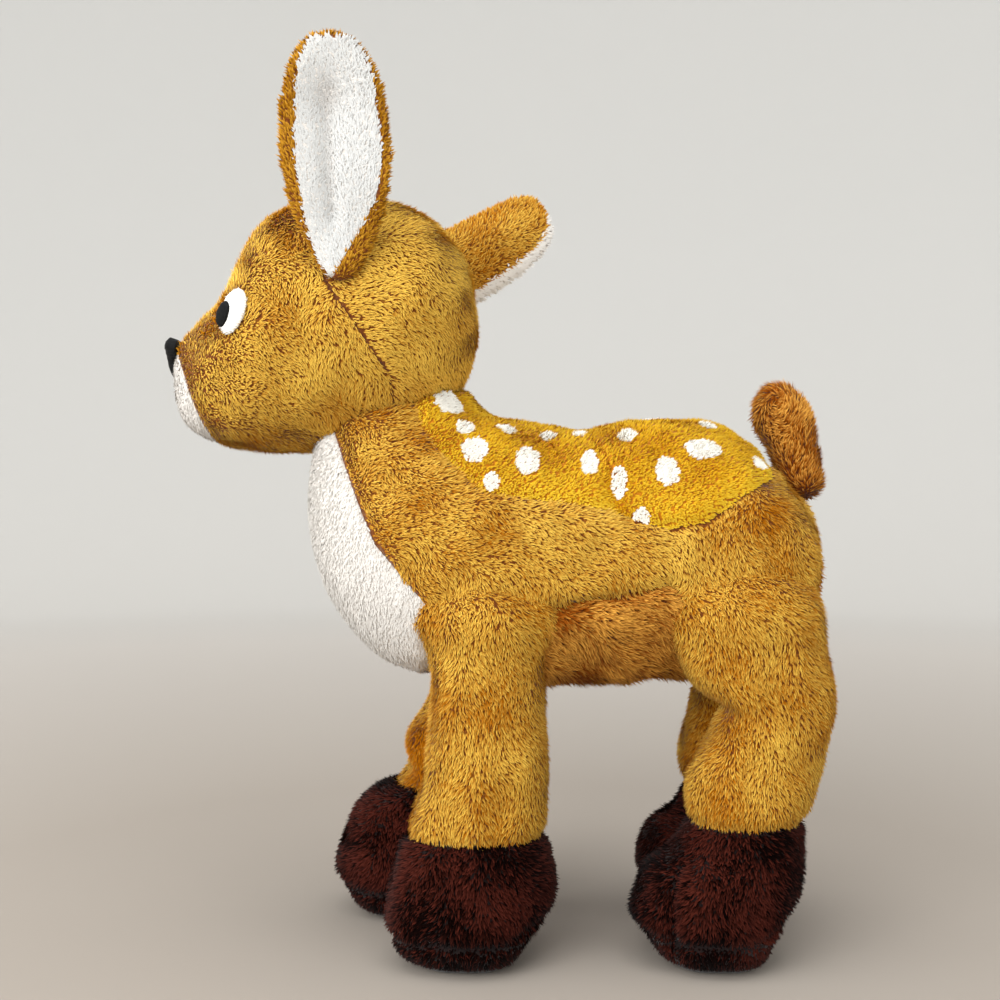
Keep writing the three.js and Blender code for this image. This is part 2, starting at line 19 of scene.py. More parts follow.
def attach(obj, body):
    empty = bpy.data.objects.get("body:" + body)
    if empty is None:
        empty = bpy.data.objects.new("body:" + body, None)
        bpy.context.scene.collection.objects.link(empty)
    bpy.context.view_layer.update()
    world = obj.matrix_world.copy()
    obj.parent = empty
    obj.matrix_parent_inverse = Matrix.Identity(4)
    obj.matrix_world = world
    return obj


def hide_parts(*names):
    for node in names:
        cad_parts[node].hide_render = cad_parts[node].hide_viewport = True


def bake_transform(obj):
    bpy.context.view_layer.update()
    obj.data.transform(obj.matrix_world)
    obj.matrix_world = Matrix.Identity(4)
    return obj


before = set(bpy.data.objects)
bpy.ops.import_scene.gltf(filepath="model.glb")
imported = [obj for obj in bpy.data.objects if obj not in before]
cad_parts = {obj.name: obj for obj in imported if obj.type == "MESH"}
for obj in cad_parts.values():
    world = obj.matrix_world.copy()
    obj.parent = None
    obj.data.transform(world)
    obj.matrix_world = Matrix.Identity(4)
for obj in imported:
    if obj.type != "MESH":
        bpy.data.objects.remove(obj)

Array = np.ndarray

# A field takes places in millimetres, one per row, and gives a value or a direction for each
Field = Callable[[Array], Array]
Place = tuple[float, float, float]
Colour = tuple[float, float, float]

MM = 0.001
TINY = 1e-9
SEED = 20250
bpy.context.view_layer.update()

# The widths of the held strips beside seams, and a distance that is past every seam
SEAM_HOLD = 4.0
FAR = 99

# The legs' middles beside the toy's, and the lowest skin over the floor
LEG_Y = 29.0
LOWEST = 0.4

# Places on an ear, as shares: the hollow and the tip along it, and the fold across it
HOLLOW_SHARE = 0.72
TIP_SHARE = 0.965
FOLD_SHARE = 0.14

# Tones go from dark to light, and printed spots have the tones above
TONES = (0.01, 0.89)
SPOT_TONE = 0.9
MAPPED_SPOT = 0.96

THINNEST = 0.2
PIECE_TUFTS = 48000

# The waves of the pile: their size in millimetres and their share, of the tone and of the comb
TONE_WAVE, TONE_DRIFT = 26, 0.6
COMB_WAVE, COMB_DRIFT = 17, 0.35

log = logging.getLogger("fawn")


class Side(Enum):
    """The two sides of the toy, with the sign of Y on each."""

    LEFT = -1
    RIGHT = 1

    @property
    def word(self) -> str:
        """The side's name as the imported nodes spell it."""
        return self.name.lower()


class Pair(Enum):
    """The two pairs of legs."""

    FRONT = "front"
    REAR = "rear"


# Arithmetic on points


def unit(vectors: Array) -> Array:
    """Vectors divided by their own length, with a floor against a length of zero."""
    return vectors / np.maximum(np.linalg.norm(vectors, axis=-1, keepdims=True), TINY)


def waves(points: Array, size: float, seed: int, count: int = 14) -> Array:
    """Soft noise: the sum of sine waves in random directions, about one in spread.

    Args:
        points: places in millimetres, one per row.
        size: the length of the waves in millimetres.
        seed: the number that picks the directions and phases.
        count: how many waves are added.

    Returns:
        One value per point.
    """
    rng = np.random.default_rng(seed)
    ways = unit(rng.normal(size=(count, 3))) * rng.uniform(0.7, 1.5, (count, 1)) * 2 * np.pi / size
    phases = rng.uniform(0, 2 * np.pi, count)
    return np.sin(points @ ways.T + phases).sum(axis=1) / np.sqrt(count / 2)


def ramp(values: Array, low: float, high: float) -> Array:
    """Zero below low, one above high, and three squares less two cubes of the way between."""
    way = np.clip((values - low) / (high - low), 0, 1)
    return way * way * (3 - 2 * way)


def bell(distances: Array, width: float) -> Array:
    """The bell curve of a distance: one at zero, e to the minus one at the width."""
    return np.exp(-((distances / width) ** 2))


def line_offset(flat: Array, line: Array) -> Array:
    """Signed distance from points to an open line in the side view.

    Each point takes its nearest segment, and is above zero on the line's left.

    Args:
        flat: points as x and z.
        line: the line's points as x and z.

    Returns:
        One distance per point.
    """
    start, way = line[:-1], line[1:] - line[:-1]
    span = (way**2).sum(axis=1)
    best = np.full(len(flat), np.inf)
    signed = np.zeros(len(flat))
    for a, w, s in zip(start, way, span):
        rel = flat - a
        t = np.clip((rel @ w) / s, 0, 1)
        away = rel - t[:, None] * w
        far = np.hypot(away[:, 0], away[:, 1])
        side = np.where(w[0] * rel[:, 1] - w[1] * rel[:, 0] >= 0, 1.0, -1.0)
        nearer = far < best - TINY
        best = np.where(nearer, far, best)
        signed = np.where(nearer, side * far, signed)
    return signed


def spun(points: Array, angle: float, a: int, b: int) -> Array:
    """Points turned by an angle in the plane of two of their columns, from a towards b.

    Args:
        points: one place per row.
        angle: radians.
        a, b: the two columns.

    Returns:
        The turned points.
    """
    c, s, out = np.cos(angle), np.sin(angle), np.array(points, float)
    out[:, a] = c * points[:, a] - s * points[:, b]
    out[:, b] = s * points[:, a] + c * points[:, b]
    return out


def resampled(rows: Array, count: int) -> Array:
    """Rows of a table made denser by a Catmull-Rom curve through them, column by column.

    Args:
        rows: the table, one row per station.
        count: how many rows come back.

    Returns:
        The denser table.
    """
    rows = np.asarray(rows, float)
    at = np.linspace(0, len(rows) - 1, count)
    i = np.minimum(at.astype(int), len(rows) - 2)
    t = (at - i)[:, None]
    p0, p1 = rows[np.maximum(i - 1, 0)], rows[i]
    p2, p3 = rows[i + 1], rows[np.minimum(i + 2, len(rows) - 1)]
    return 0.5 * (
        2 * p1 + (p2 - p0) * t + (2 * p0 - 5 * p1 + 4 * p2 - p3) * t**2 + (3 * p1 - p0 - 3 * p2 + p3) * t**3
    )


# Surfaces


@dataclass
class Surface:
    """A skin of four-sided faces, in millimetres.

    Attributes:
        points: one row per vertex.
        faces: four vertex numbers per face, anticlockwise from outside.
    """

    points: Array
    faces: Array

    def edges(self) -> Array:
        """The skin's edges, each once, as two vertex numbers."""
        pairs = np.concatenate([self.faces[:, [i, (i + 1) % 4]] for i in range(4)])
        return np.unique(np.sort(pairs, axis=1), axis=0)

    def face_normals(self) -> Array:
        """Half the cross product of each face's diagonals: its direction times its area."""
        a, b, c, d = (self.points[self.faces[:, i]] for i in range(4))
        return np.cross(c - a, d - b) / 2

    def normals(self) -> Array:
        """The direction out of the skin at each vertex, from the faces round it.

        Returns:
            One direction per vertex.
        """
        total = np.zeros_like(self.points)
        by_face = self.face_normals()
        for corner in range(4):
            np.add.at(total, self.faces[:, corner], by_face)
        return unit(total)

    def relax(self, rounds: int, hold: float = 0.53) -> None:
        """Taubin's smoothing: a step to the neighbours' mean, then a longer step back.

        Args:
            rounds: how many pairs of steps.
            hold: the length of the step back, just over the half step forward.
        """
        edges = self.edges()
        count = np.bincount(edges.ravel(), minlength=len(self.points))[:, None]
        for _ in range(rounds):
            for step in (0.5, -hold):
                total = np.zeros_like(self.points)
                np.add.at(total, edges[:, 0], self.points[edges[:, 1]])
                np.add.at(total, edges[:, 1], self.points[edges[:, 0]])
                self.points = self.points + step * (total / np.maximum(count, 1) - self.points)

    def swell(self, amount: Array | float) -> None:
        """Moves each vertex out along its normal by an amount in millimetres."""
        amount = np.broadcast_to(amount, len(self.points))
        self.points = self.points + self.normals() * amount[:, None]

    def tree(self) -> BVHTree:
        """A search tree over the skin's faces."""
        return BVHTree.FromPolygons(self.points.tolist(), self.faces.tolist())

    def part(self, keep: Array) -> "Surface":
        """The faces that a mask keeps, with only their own vertices.

        Args:
            keep: one true or false per face.

        Returns:
            The part as a skin of its own.
        """
        faces = self.faces[keep]
        used, numbers = np.unique(faces, return_inverse=True)
        return Surface(self.points[used], numbers.reshape(faces.shape))


def loft(rings: Array) -> tuple[Array, list[list[int]]]:
    """A closed skin through rings of points, with a fan over each end.

    Point j of ring i is number i times the sides plus j, and the two middles come last.

    Args:
        rings: an array of rings by sides by three.

    Returns:
        The points and the faces.
    """
    count, sides = rings.shape[:2]
    index = np.arange(count * sides).reshape(count, sides)
    after = np.roll(index, -1, axis=1)
    walls = np.stack([index[:-1], after[:-1], after[1:], index[1:]], axis=-1).reshape(-1, 4)
    middles = np.stack([rings[0].mean(axis=0), rings[-1].mean(axis=0)])
    points = np.concatenate([rings.reshape(-1, 3), middles])
    first, last = count * sides, count * sides + 1
    fans = [[first, b, a] for a, b in zip(index[0], after[0])]
    fans += [[last, a, b] for a, b in zip(index[-1], after[-1])]
    return points, walls.tolist() + fans


def ladder(rows: Array, centre_y: float, roundness: float, sides: int) -> Array:
    """Rings between an upper and a lower edge of the side view.

    Round each ring, cosine and sine are raised to two over the roundness, keeping their sign.
    The cosine goes from the lower edge to the upper, and the sine out to the half width.

    Args:
        rows: upper x and z, lower x and z and half width, one row per ring, in millimetres.
        centre_y: the middle of every ring.
        roundness: two for an ellipse, more for a squarer ring.
        sides: points per ring.

    Returns:
        An array of rings by sides by three.
    """
    angle = np.linspace(0, 2 * np.pi, sides, endpoint=False)
    bend = lambda value: np.sign(value) * np.abs(value) ** (2 / roundness)
    up, out = (1 + bend(np.cos(angle))) / 2, bend(np.sin(angle))
    upper, lower, half = rows[:, None, 0:2], rows[:, None, 2:4], np.maximum(rows[:, None, 4], 0)
    flat = lower + (upper - lower) * up[None, :, None]
    return np.stack([flat[..., 0], centre_y + half * out[None], flat[..., 1]], axis=-1)


def mesh_object(name: str, points: Array, faces: list | Array) -> bpy.types.Object:
    """A Blender object at the origin from points in millimetres and faces.

    Args:
        name: the object's name.
        points: one row per vertex.
        faces: vertex numbers per face.

    Returns:
        The linked object.
    """
    mesh = bpy.data.meshes.new(name)
    mesh.from_pydata((np.asarray(points) * MM).tolist(), [], [list(map(int, f)) for f in faces])
    mesh.validate()
    thing = bpy.data.objects.new(name, mesh)
    bpy.context.scene.collection.objects.link(thing)
    return thing


def baked(thing: bpy.types.Object) -> Surface:
    """What an object's modifiers make of it, as a skin in millimetres.

    Args:
        thing: the object, which goes away.

    Returns:
        The skin.
    """
    graph = bpy.context.evaluated_depsgraph_get()
    mesh = bpy.data.meshes.new_from_object(thing.evaluated_get(graph))
    points = np.empty(len(mesh.vertices) * 3)
    mesh.vertices.foreach_get("co", points)
    corners = np.empty(len(mesh.loops), np.int32)
    mesh.loops.foreach_get("vertex_index", corners)
    sizes = np.empty(len(mesh.polygons), np.int32)
    mesh.polygons.foreach_get("loop_total", sizes)
    if not (sizes == 4).all():
        raise ValueError(f"{thing.name}: {int((sizes != 4).sum())} faces aren't four-sided")
    old = thing.data
    bpy.data.objects.remove(thing)
    bpy.data.meshes.remove(old)
    bpy.data.meshes.remove(mesh)
    return Surface(points.reshape(-1, 3) / MM, corners.reshape(-1, 4).astype(int))


def remeshed(points: Array, faces: list | Array, voxel: float) -> Surface:
    """A closed skin round everything given, in even four-sided faces.

    Args:
        points: one row per vertex, in millimetres.
        faces: vertex numbers per face.
        voxel: the size of the new faces.

    Returns:
        The new skin.
    """
    thing = mesh_object("blank", points, faces)
    remesh = thing.modifiers.new("Remesh", "REMESH")
    remesh.mode, remesh.voxel_size = "VOXEL", voxel * MM
    return baked(thing)


def subdivided(skin: Surface) -> Surface:
    """The skin with one round of Catmull-Clark subdivision.

    Args:
        skin: the skin.

    Returns:
        The finer skin.
    """
    thing = mesh_object("finer", skin.points, skin.faces)
    finer = thing.modifiers.new("Subdivision", "SUBSURF")
    finer.levels = finer.render_levels = 1
    return baked(thing)


def triangles(mesh: bpy.types.Mesh) -> tuple[Array, Array]:
    """A mesh's vertices in millimetres and the numbers of its triangles' corners.

    Args:
        mesh: the mesh.

    Returns:
        The points, and three numbers per triangle.
    """
    points = np.empty(len(mesh.vertices) * 3)
    mesh.vertices.foreach_get("co", points)
    mesh.calc_loop_triangles()
    corners = np.empty(len(mesh.loop_triangles) * 3, np.int32)
    mesh.loop_triangles.foreach_get("vertices", corners)
    return points.reshape(-1, 3) / MM, corners.reshape(-1, 3)


def cad_skin(*nodes: str) -> tuple[Array, Array]:
    """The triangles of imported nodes, in millimetres, with doubled points merged.

    Args:
        nodes: the nodes' names.

    Returns:
        The points and the triangles.
    """
    points, faces, start = [], [], 0
    for node in nodes:
        found, corners = triangles(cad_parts[node].data)
        merged, numbers = np.unique(np.round(found, 3), axis=0, return_inverse=True)
        points.append(merged)
        faces.append(numbers.ravel()[corners] + start)
        start += len(merged)
    return np.concatenate(points), np.concatenate(faces)


def puffed(skin: Surface, pinned: Array, pressure: float, cap: float) -> Surface:
    """The skin blown up as cloth between its seams, and capped.

    Cloth under pressure and without weight is stepped for twenty frames, with the seams
    pinned. No point moves further than the cap.

    Args:
        skin: the slack skin.
        pinned: one where a vertex is held by a seam, less where it is freer.
        pressure: the cloth's pressure.
        cap: the furthest move in millimetres.
    """
    frames, stiffness, bending, half_step = 20, 25, 2, 0.25
    thing = mesh_object("puff", skin.points, skin.faces)
    seams = thing.vertex_groups.new(name="seams")
    for weight in (0.5, 1.0):
        held = np.nonzero((pinned > weight - half_step) & (pinned <= weight + half_step))[0]
        seams.add(held.tolist(), weight, "REPLACE")
    cloth = thing.modifiers.new("Cloth", "CLOTH")
    settings = cloth.settings
    settings.use_pressure = True
    settings.uniform_pressure_force = pressure
    settings.effector_weights.gravity = 0
    settings.vertex_group_mass = "seams"
    settings.tension_stiffness = settings.compression_stiffness = stiffness
    settings.bending_stiffness = bending
    scene = bpy.context.scene
    for number in range(1, frames + 1):
        scene.frame_set(number)
    blown = baked(thing)
    scene.frame_set(1)
    move = blown.points - skin.points
    length = np.linalg.norm(move, axis=1, keepdims=True)
    return Surface(skin.points + move * np.minimum(1, cap / np.maximum(length, TINY)), skin.faces)


# Finishes


def linear(colour: Colour) -> tuple[float, float, float, float]:
    """A colour of 0 to 255 per channel as Blender's linear one.

    Under the standard's knee a channel is divided. Over it, the root of a power is undone.

    Args:
        colour: the colour as a picture stores it.

    Returns:
        The colour with its alpha of one.
    """
    share = np.asarray(colour) / 255
    value = np.where(share <= 0.04045, share / 12.92, ((share + 0.055) / 1.055) ** 2.4)
    return (*map(float, value), 1.0)


class Nodes:
    """A new material's node tree, with short ways to add to it."""

    def __init__(self, name: str, roughness: float, sheen: float) -> None:
        """Starts the material.

        Args:
            name: the material's name.
            roughness: the shader's roughness.
            sheen: the weight of the fibres' soft glow.
        """
        self.material = bpy.data.materials.new(name)
        self.material.use_nodes = True
        self.tree = self.material.node_tree
        self.shader = self.tree.nodes["Principled BSDF"]
        self.shader.inputs["Roughness"].default_value = roughness
        self.shader.inputs["Specular IOR Level"].default_value = 0.2
        self.shader.inputs["Sheen Weight"].default_value = sheen
        self.shader.inputs["Sheen Roughness"].default_value = 0.5

    def add(self, kind: str, **values: object) -> bpy.types.Node:
        """A node of a kind, with its properties or inputs set by name.

        Args:
            kind: the node's type.
            values: its properties, or its inputs with underscores for spaces.

        Returns:
            The node.
        """
        node = self.tree.nodes.new(kind)
        for key, value in values.items():
            if hasattr(node, key):
                setattr(node, key, value)
            else:
                node.inputs[key.replace("_", " ")].default_value = value
        return node

    def placed(self, kind: str, **values: object) -> bpy.types.Node:
        """A node, as above, that takes its place from the piece's Object coordinates.

        Args:
            kind, values: as above.

        Returns:
            The node.
        """
        node, coords = self.add(kind, **values), self.add("ShaderNodeTexCoord")
        self.link(coords.outputs["Object"], node.inputs["Vector"])
        return node

    def link(self, source: bpy.types.NodeSocket, target: bpy.types.NodeSocket) -> None:
        """Joins two sockets."""
        self.tree.links.new(source, target)

    def scale(
        self, source: bpy.types.NodeSocket, stops: list[tuple[float, Colour]]
    ) -> bpy.types.NodeSocket:
        """A colour scale.

        Args:
            source: what picks the place on the scale.
            stops: places from 0 to 1 with a colour at each. A third and later come between.

        Returns:
            The colour.
        """
        node = self.add("ShaderNodeValToRGB")
        elements = node.color_ramp.elements
        for at, (place, colour) in enumerate(stops):
            element = elements[at] if at < 2 else elements.new(place)
            element.position, element.color = place, linear(colour)
        self.link(source, node.inputs["Fac"])
        return node.outputs["Color"]

    def bump(self, height: bpy.types.NodeSocket, strength: float, distance: float) -> None:
        """Drives the shader's normal by a height.

        Args:
            height: the height.
            strength: how strongly it shows.
            distance: the height of one, in millimetres.
        """
        node = self.add("ShaderNodeBump", Strength=strength, Distance=distance * MM)
        self.link(height, node.inputs["Height"])
        self.link(node.outputs["Normal"], self.shader.inputs["Normal"])


@dataclass(frozen=True)
class PileFinish:
    """Combed pile: each tuft is dark at its root and light at its tip, painted shade between the tufts and
    painted light where their tips let it through.

    Attributes:
        name: the material's name.
        slot: the record's material slot; not used.
        root: colours at the root, from the darkest tuft to the lightest.
        tip: colours at the tip, from the darkest tuft to the lightest.
        spot: the printed spots' colour, for tones near one, or None.
        uneven: how much the tone varies from tuft to tuft.
    """

    name: str
    slot: str
    root: tuple[Colour, Colour]
    tip: tuple[Colour, Colour]
    spot: Colour | None = None
    uneven: float = 0.17

    def material(self) -> bpy.types.Material:
        """The tufts' material. On a tuft's own map, u is its tone and v its height.

        Returns:
            The material.
        """
        sheen, gloss = 0.02, 0.03
        nodes = Nodes(self.name, 1.0, sheen)
        nodes.shader.inputs["Specular IOR Level"].default_value = gloss
        uv = nodes.add("ShaderNodeUVMap", uv_map="OFBake")
        parts = nodes.add("ShaderNodeSeparateXYZ")
        nodes.link(uv.outputs["UV"], parts.inputs["Vector"])
        roots = [(0.0, self.root[0]), (SPOT_TONE, self.root[1])]
        tips = [(0.0, self.tip[0]), (SPOT_TONE, self.tip[1])]
        if self.spot:
            # Spot tufts are darker at the root too: painted shade between the tufts
            darker, from_here = 0.86, 0.92
            pale = tuple(darker * c for c in self.spot)
            roots += [(from_here, pale), (1.0, pale)]
            tips += [(from_here, self.spot), (1.0, self.spot)]
        low = nodes.scale(parts.outputs["X"], roots)
        high = nodes.scale(parts.outputs["X"], tips)
        mix = nodes.add("ShaderNodeMix", data_type="RGBA")
        nodes.link(parts.outputs["Y"], mix.inputs["Factor"])
        nodes.link(low, mix.inputs["A"])
        nodes.link(high, mix.inputs["B"])
        nodes.link(mix.outputs["Result"], nodes.shader.inputs["Base Color"])
        return nodes.material


@dataclass(frozen=True)
class WovenFinish:
    """A finish of threads or fibres, which a texture on Object coordinates colours and raises.

    Attributes:
        name: the material's name.
        slot: the record's material slot; not used.
        dark, light: the colours between the threads and on them.
    """

    name: str
    slot: str
    dark: Colour
    light: Colour


@dataclass(frozen=True)
class BackingFinish(WovenFinish):
    """The knitted backing under the pile, in loops of about a millimetre."""

    def material(self) -> bpy.types.Material:
        """The backing's material.

        Returns:
            The material.
        """
        loop_size, drift_size = 1.1, 14
        nodes = Nodes(self.name, 0.9, 0.15)
        loops = nodes.placed("ShaderNodeTexVoronoi", Scale=1 / (loop_size * MM))
        drift = nodes.placed("ShaderNodeTexNoise", Scale=1 / (drift_size * MM), Detail=3.0)
        both = nodes.add("ShaderNodeMath", operation="MULTIPLY_ADD")
        nodes.link(drift.outputs["Fac"], both.inputs[0])
        both.inputs[1].default_value = 0.8
        nodes.link(loops.outputs["Distance"], both.inputs[2])
        colour = nodes.scale(both.outputs["Value"], [(0.15, self.light), (1.0, self.dark)])
        nodes.link(colour, nodes.shader.inputs["Base Color"])
        nodes.bump(loops.outputs["Distance"], 0.6, 0.4)
        return nodes.material


@dataclass(frozen=True)
class FibreFinish(WovenFinish):
    """Loose fibre stuffing, matted in soft strands."""

    def material(self) -> bpy.types.Material:
        """The fibre's material.

        Returns:
            The material.
        """
        strand = 2.5
        nodes = Nodes(self.name, 1.0, 0.3)
        strands = nodes.placed(
            "ShaderNodeTexNoise", Scale=1 / (strand * MM), Detail=6.0, Distortion=2.5
        )
        shade = nodes.scale(strands.outputs["Fac"], [(0.25, self.dark), (0.7, self.light)])
        nodes.link(shade, nodes.shader.inputs["Base Color"])
        nodes.bump(strands.outputs["Fac"], 0.8, 1.0)
        return nodes.material


@dataclass(frozen=True)
class ThreadFinish(WovenFinish):
    """Close stitches that lie side by side, as on the nose and the pupils.

    Attributes:
        pitch: the stitches' spacing in millimetres.
        roughness: the thread's roughness.
    """

    pitch: float
    roughness: float

    def material(self) -> bpy.types.Material:
        """The stitches' material.

        Returns:
            The material.
        """
        gloss, waves_per_unit = 0.12, 0.314
        nodes = Nodes(self.name, self.roughness, 0.0)
        nodes.shader.inputs["Specular IOR Level"].default_value = gloss
        size = waves_per_unit / (self.pitch * MM)
        rows = nodes.placed("ShaderNodeTexWave", bands_direction="Z", Scale=size, Distortion=1.2)
        shade = nodes.scale(rows.outputs["Fac"], [(0.1, self.dark), (0.8, self.light)])
        nodes.link(shade, nodes.shader.inputs["Base Color"])
        nodes.bump(rows.outputs["Fac"], 0.5, 0.25)
        return nodes.material


BROWN_PILE = PileFinish(
    "brown_pile", "brown_plush", ((68, 22, 0), (138, 78, 0)), ((192, 114, 10), (252, 211, 92)), uneven=0.2
)
# A darker copy of the brown pile for the near ear's back: painted shade
SHADED_BROWN_PILE = PileFinish(
    "rim_pile", "brown_plush", ((58, 26, 0), (112, 66, 2)), ((146, 92, 8), (220, 164, 54)), uneven=0.2
)
SADDLE_PILE = PileFinish(
    "saddle_pile", "saddle_plush", ((176, 110, 0), (210, 156, 6)), ((196, 142, 14), (232, 201, 60)),
    (255, 252, 242), 0.12,
)
BELLY_PILE = PileFinish(
    "belly_pile", "belly_plush", ((40, 6, 0), (100, 40, 0)), ((156, 80, 14), (248, 184, 80)), uneven=0.28
)
HOOF_PILE = PileFinish(
    "hoof_pile", "hoof_plush", ((1, 0, 0), (7, 1, 0)), ((9, 1, 0), (88, 38, 28)), uneven=0.4
)
WHITE_PILE = PileFinish(
    "white_pile", "white_plush", ((205, 201, 195), (213, 210, 205)), ((203, 199, 193), (216, 214, 209)),
    uneven=0.06,
)
# A darker copy of the white pile for the ear's lining, which the lamps light more than the chest: painted
# shade. Its dark end is the painted shade of the hollow and the fold
SHADED_WHITE_PILE = PileFinish(
    "ear_pile", "white_plush", ((168, 163, 158), (193, 193, 191)), ((174, 171, 167), (200, 202, 201)),
    uneven=0.06,
)
# A lighter copy of the white pile for the folded ear's lining, which faces away from the lamps: painted light
LIT_WHITE_PILE = PileFinish(
    "light_pile", "white_plush", ((226, 223, 218), (236, 234, 230)), ((228, 225, 220), (240, 238, 234)),
    uneven=0.06,
)
# The brown, saddle, belly and hoof backings are darker than their pile's tips: painted shade that makes the
# gaps between tufts look deep
BROWN_BACKING = BackingFinish("brown_backing", "brown_plush", (96, 46, 1), (150, 92, 12))
SADDLE_BACKING = BackingFinish("saddle_backing", "saddle_plush", (160, 94, 2), (210, 150, 12))
BELLY_BACKING = BackingFinish("belly_backing", "belly_plush", (74, 30, 2), (122, 62, 10))
WHITE_BACKING = BackingFinish("white_backing", "white_plush", (209, 204, 198), (221, 217, 212))
HOOF_BACKING = BackingFinish("hoof_backing", "hoof_plush", (10, 2, 1), (30, 8, 6))
BLACK_THREAD = ThreadFinish("black_thread", "black_satin", (1, 1, 1), (9, 9, 10), 0.45, 0.5)
WHITE_FELT = ThreadFinish("white_felt", "white_felt", (216, 214, 208), (238, 237, 233), 0.9, 0.9)
FIBRE = FibreFinish("loose_fibre", "stuffing", (206, 206, 202), (246, 246, 243))


def dress(
    thing: bpy.types.Object, finish: PileFinish | WovenFinish, made: dict[str, bpy.types.Material]
) -> None:
    """Gives a piece its finish, making each material once.

    Args:
        thing: the piece.
        finish: one of the finishes above.
        made: the materials so far, to which a new one is added.
    """
    if finish.name not in made:
        made[finish.name] = finish.material()
    thing.data.materials.clear()
    thing.data.materials.append(made[finish.name])


# Pile


@dataclass(frozen=True)
class Coat:
    """How a panel's pile grows.

    Attributes:
        finish: the tufts' finish.
        length: a tuft's length in millimetres.
        width: its width at the root.
        lean: how far it leans from upright, in radians.
        density: tufts per square millimetre.
        stray: how unruly the tufts are.
        relief: how much of a tuft's own roundness its shading shows, and how far the comb wanders.
    """

    finish: PileFinish
    length: float = 2.7
    width: float = 0.64
    lean: float = 1.1
    density: float = 2.45
    stray: float = 0.22
    relief: float = 1.0


BROWN_COAT = Coat(BROWN_PILE)
SADDLE_COAT = Coat(SADDLE_PILE, length=1.6, width=0.95, lean=0.7, density=2.5, stray=0.3, relief=0.4)
BELLY_COAT = Coat(BELLY_PILE, length=4.0, width=0.85, density=2.1)
WHITE_COAT = Coat(WHITE_PILE, length=1.9, width=1.05, lean=1.15, density=2.35, stray=0.22, relief=0.1)
EAR_COAT = Coat(SHADED_WHITE_PILE, length=2.2, width=0.83, lean=1.0, density=2.6, stray=0.4, relief=0.12)
RIM_COAT = Coat(SHADED_BROWN_PILE, length=2.2, lean=1.0, stray=0.3, relief=0.5)
FOLDED_COAT = Coat(BROWN_PILE, length=2.3, lean=1.0, stray=0.35, relief=0.7)
FOLDED_LINING_COAT = Coat(LIT_WHITE_PILE, length=2.4, width=0.8, lean=0.9, density=2.6, stray=0.45, relief=0.12)
FELT_COAT = Coat(WHITE_PILE, length=1.3, width=0.6, lean=0.9, density=4.0, stray=0.3)
TAIL_COAT = Coat(BELLY_PILE, length=3.2, stray=0.25)
HOOF_COAT = Coat(HOOF_PILE, length=3.2, width=0.84, lean=0.95, density=2.2, stray=0.3, relief=1.3)


@dataclass
class Roots:
    """Where tufts stand.

    Attributes:
        points: the places, in millimetres.
        normals: the direction out of the skin at each.
    """

    points: Array
    normals: Array

    def kept(self, keep: Array) -> "Roots":
        """The roots that a mask keeps."""
        return Roots(self.points[keep], self.normals[keep])


def sown(skin: Surface, density: float, seed: int) -> Roots:
    """Random roots over a skin, as many per square millimetre everywhere.

    Faces are drawn by their area, and a root's place in its face is a blend of the four
    corners by two even numbers.

    Args:
        skin: the skin to sow.
        density: roots per square millimetre.
        seed: the number that picks the places.

    Returns:
        The roots.
    """
    rng = np.random.default_rng(seed)
    area = np.linalg.norm(skin.face_normals(), axis=1)
    total = np.cumsum(area)
    count = int(total[-1] * density)
    at = np.searchsorted(total, (np.arange(count) + rng.random(count)) / count * total[-1])
    at = np.minimum(at, len(area) - 1)
    u, v = rng.random((2, count, 1))
    normals = skin.normals()

    def blend(values: Array) -> Array:
        """The four corners' values, blended."""
        a, b, c, d = (values[skin.faces[at, i]] for i in range(4))
        return (a * (1 - u) + b * u) * (1 - v) + (d * (1 - u) + c * u) * v

    return Roots(blend(skin.points), unit(blend(normals)))


def depth_inside(points: Array, tree: BVHTree) -> Array:
    """How deep each point lies inside a closed skin.

    Args:
        points: the points.
        tree: the skin's search tree.

    Returns:
        The depths in millimetres, below zero outside.
    """
    depth = np.empty(len(points))
    for at, point in enumerate(points):
        near, normal, _, _ = tree.find_nearest(Vector(point))
        depth[at] = -(Vector(point) - near).dot(normal)
    return depth


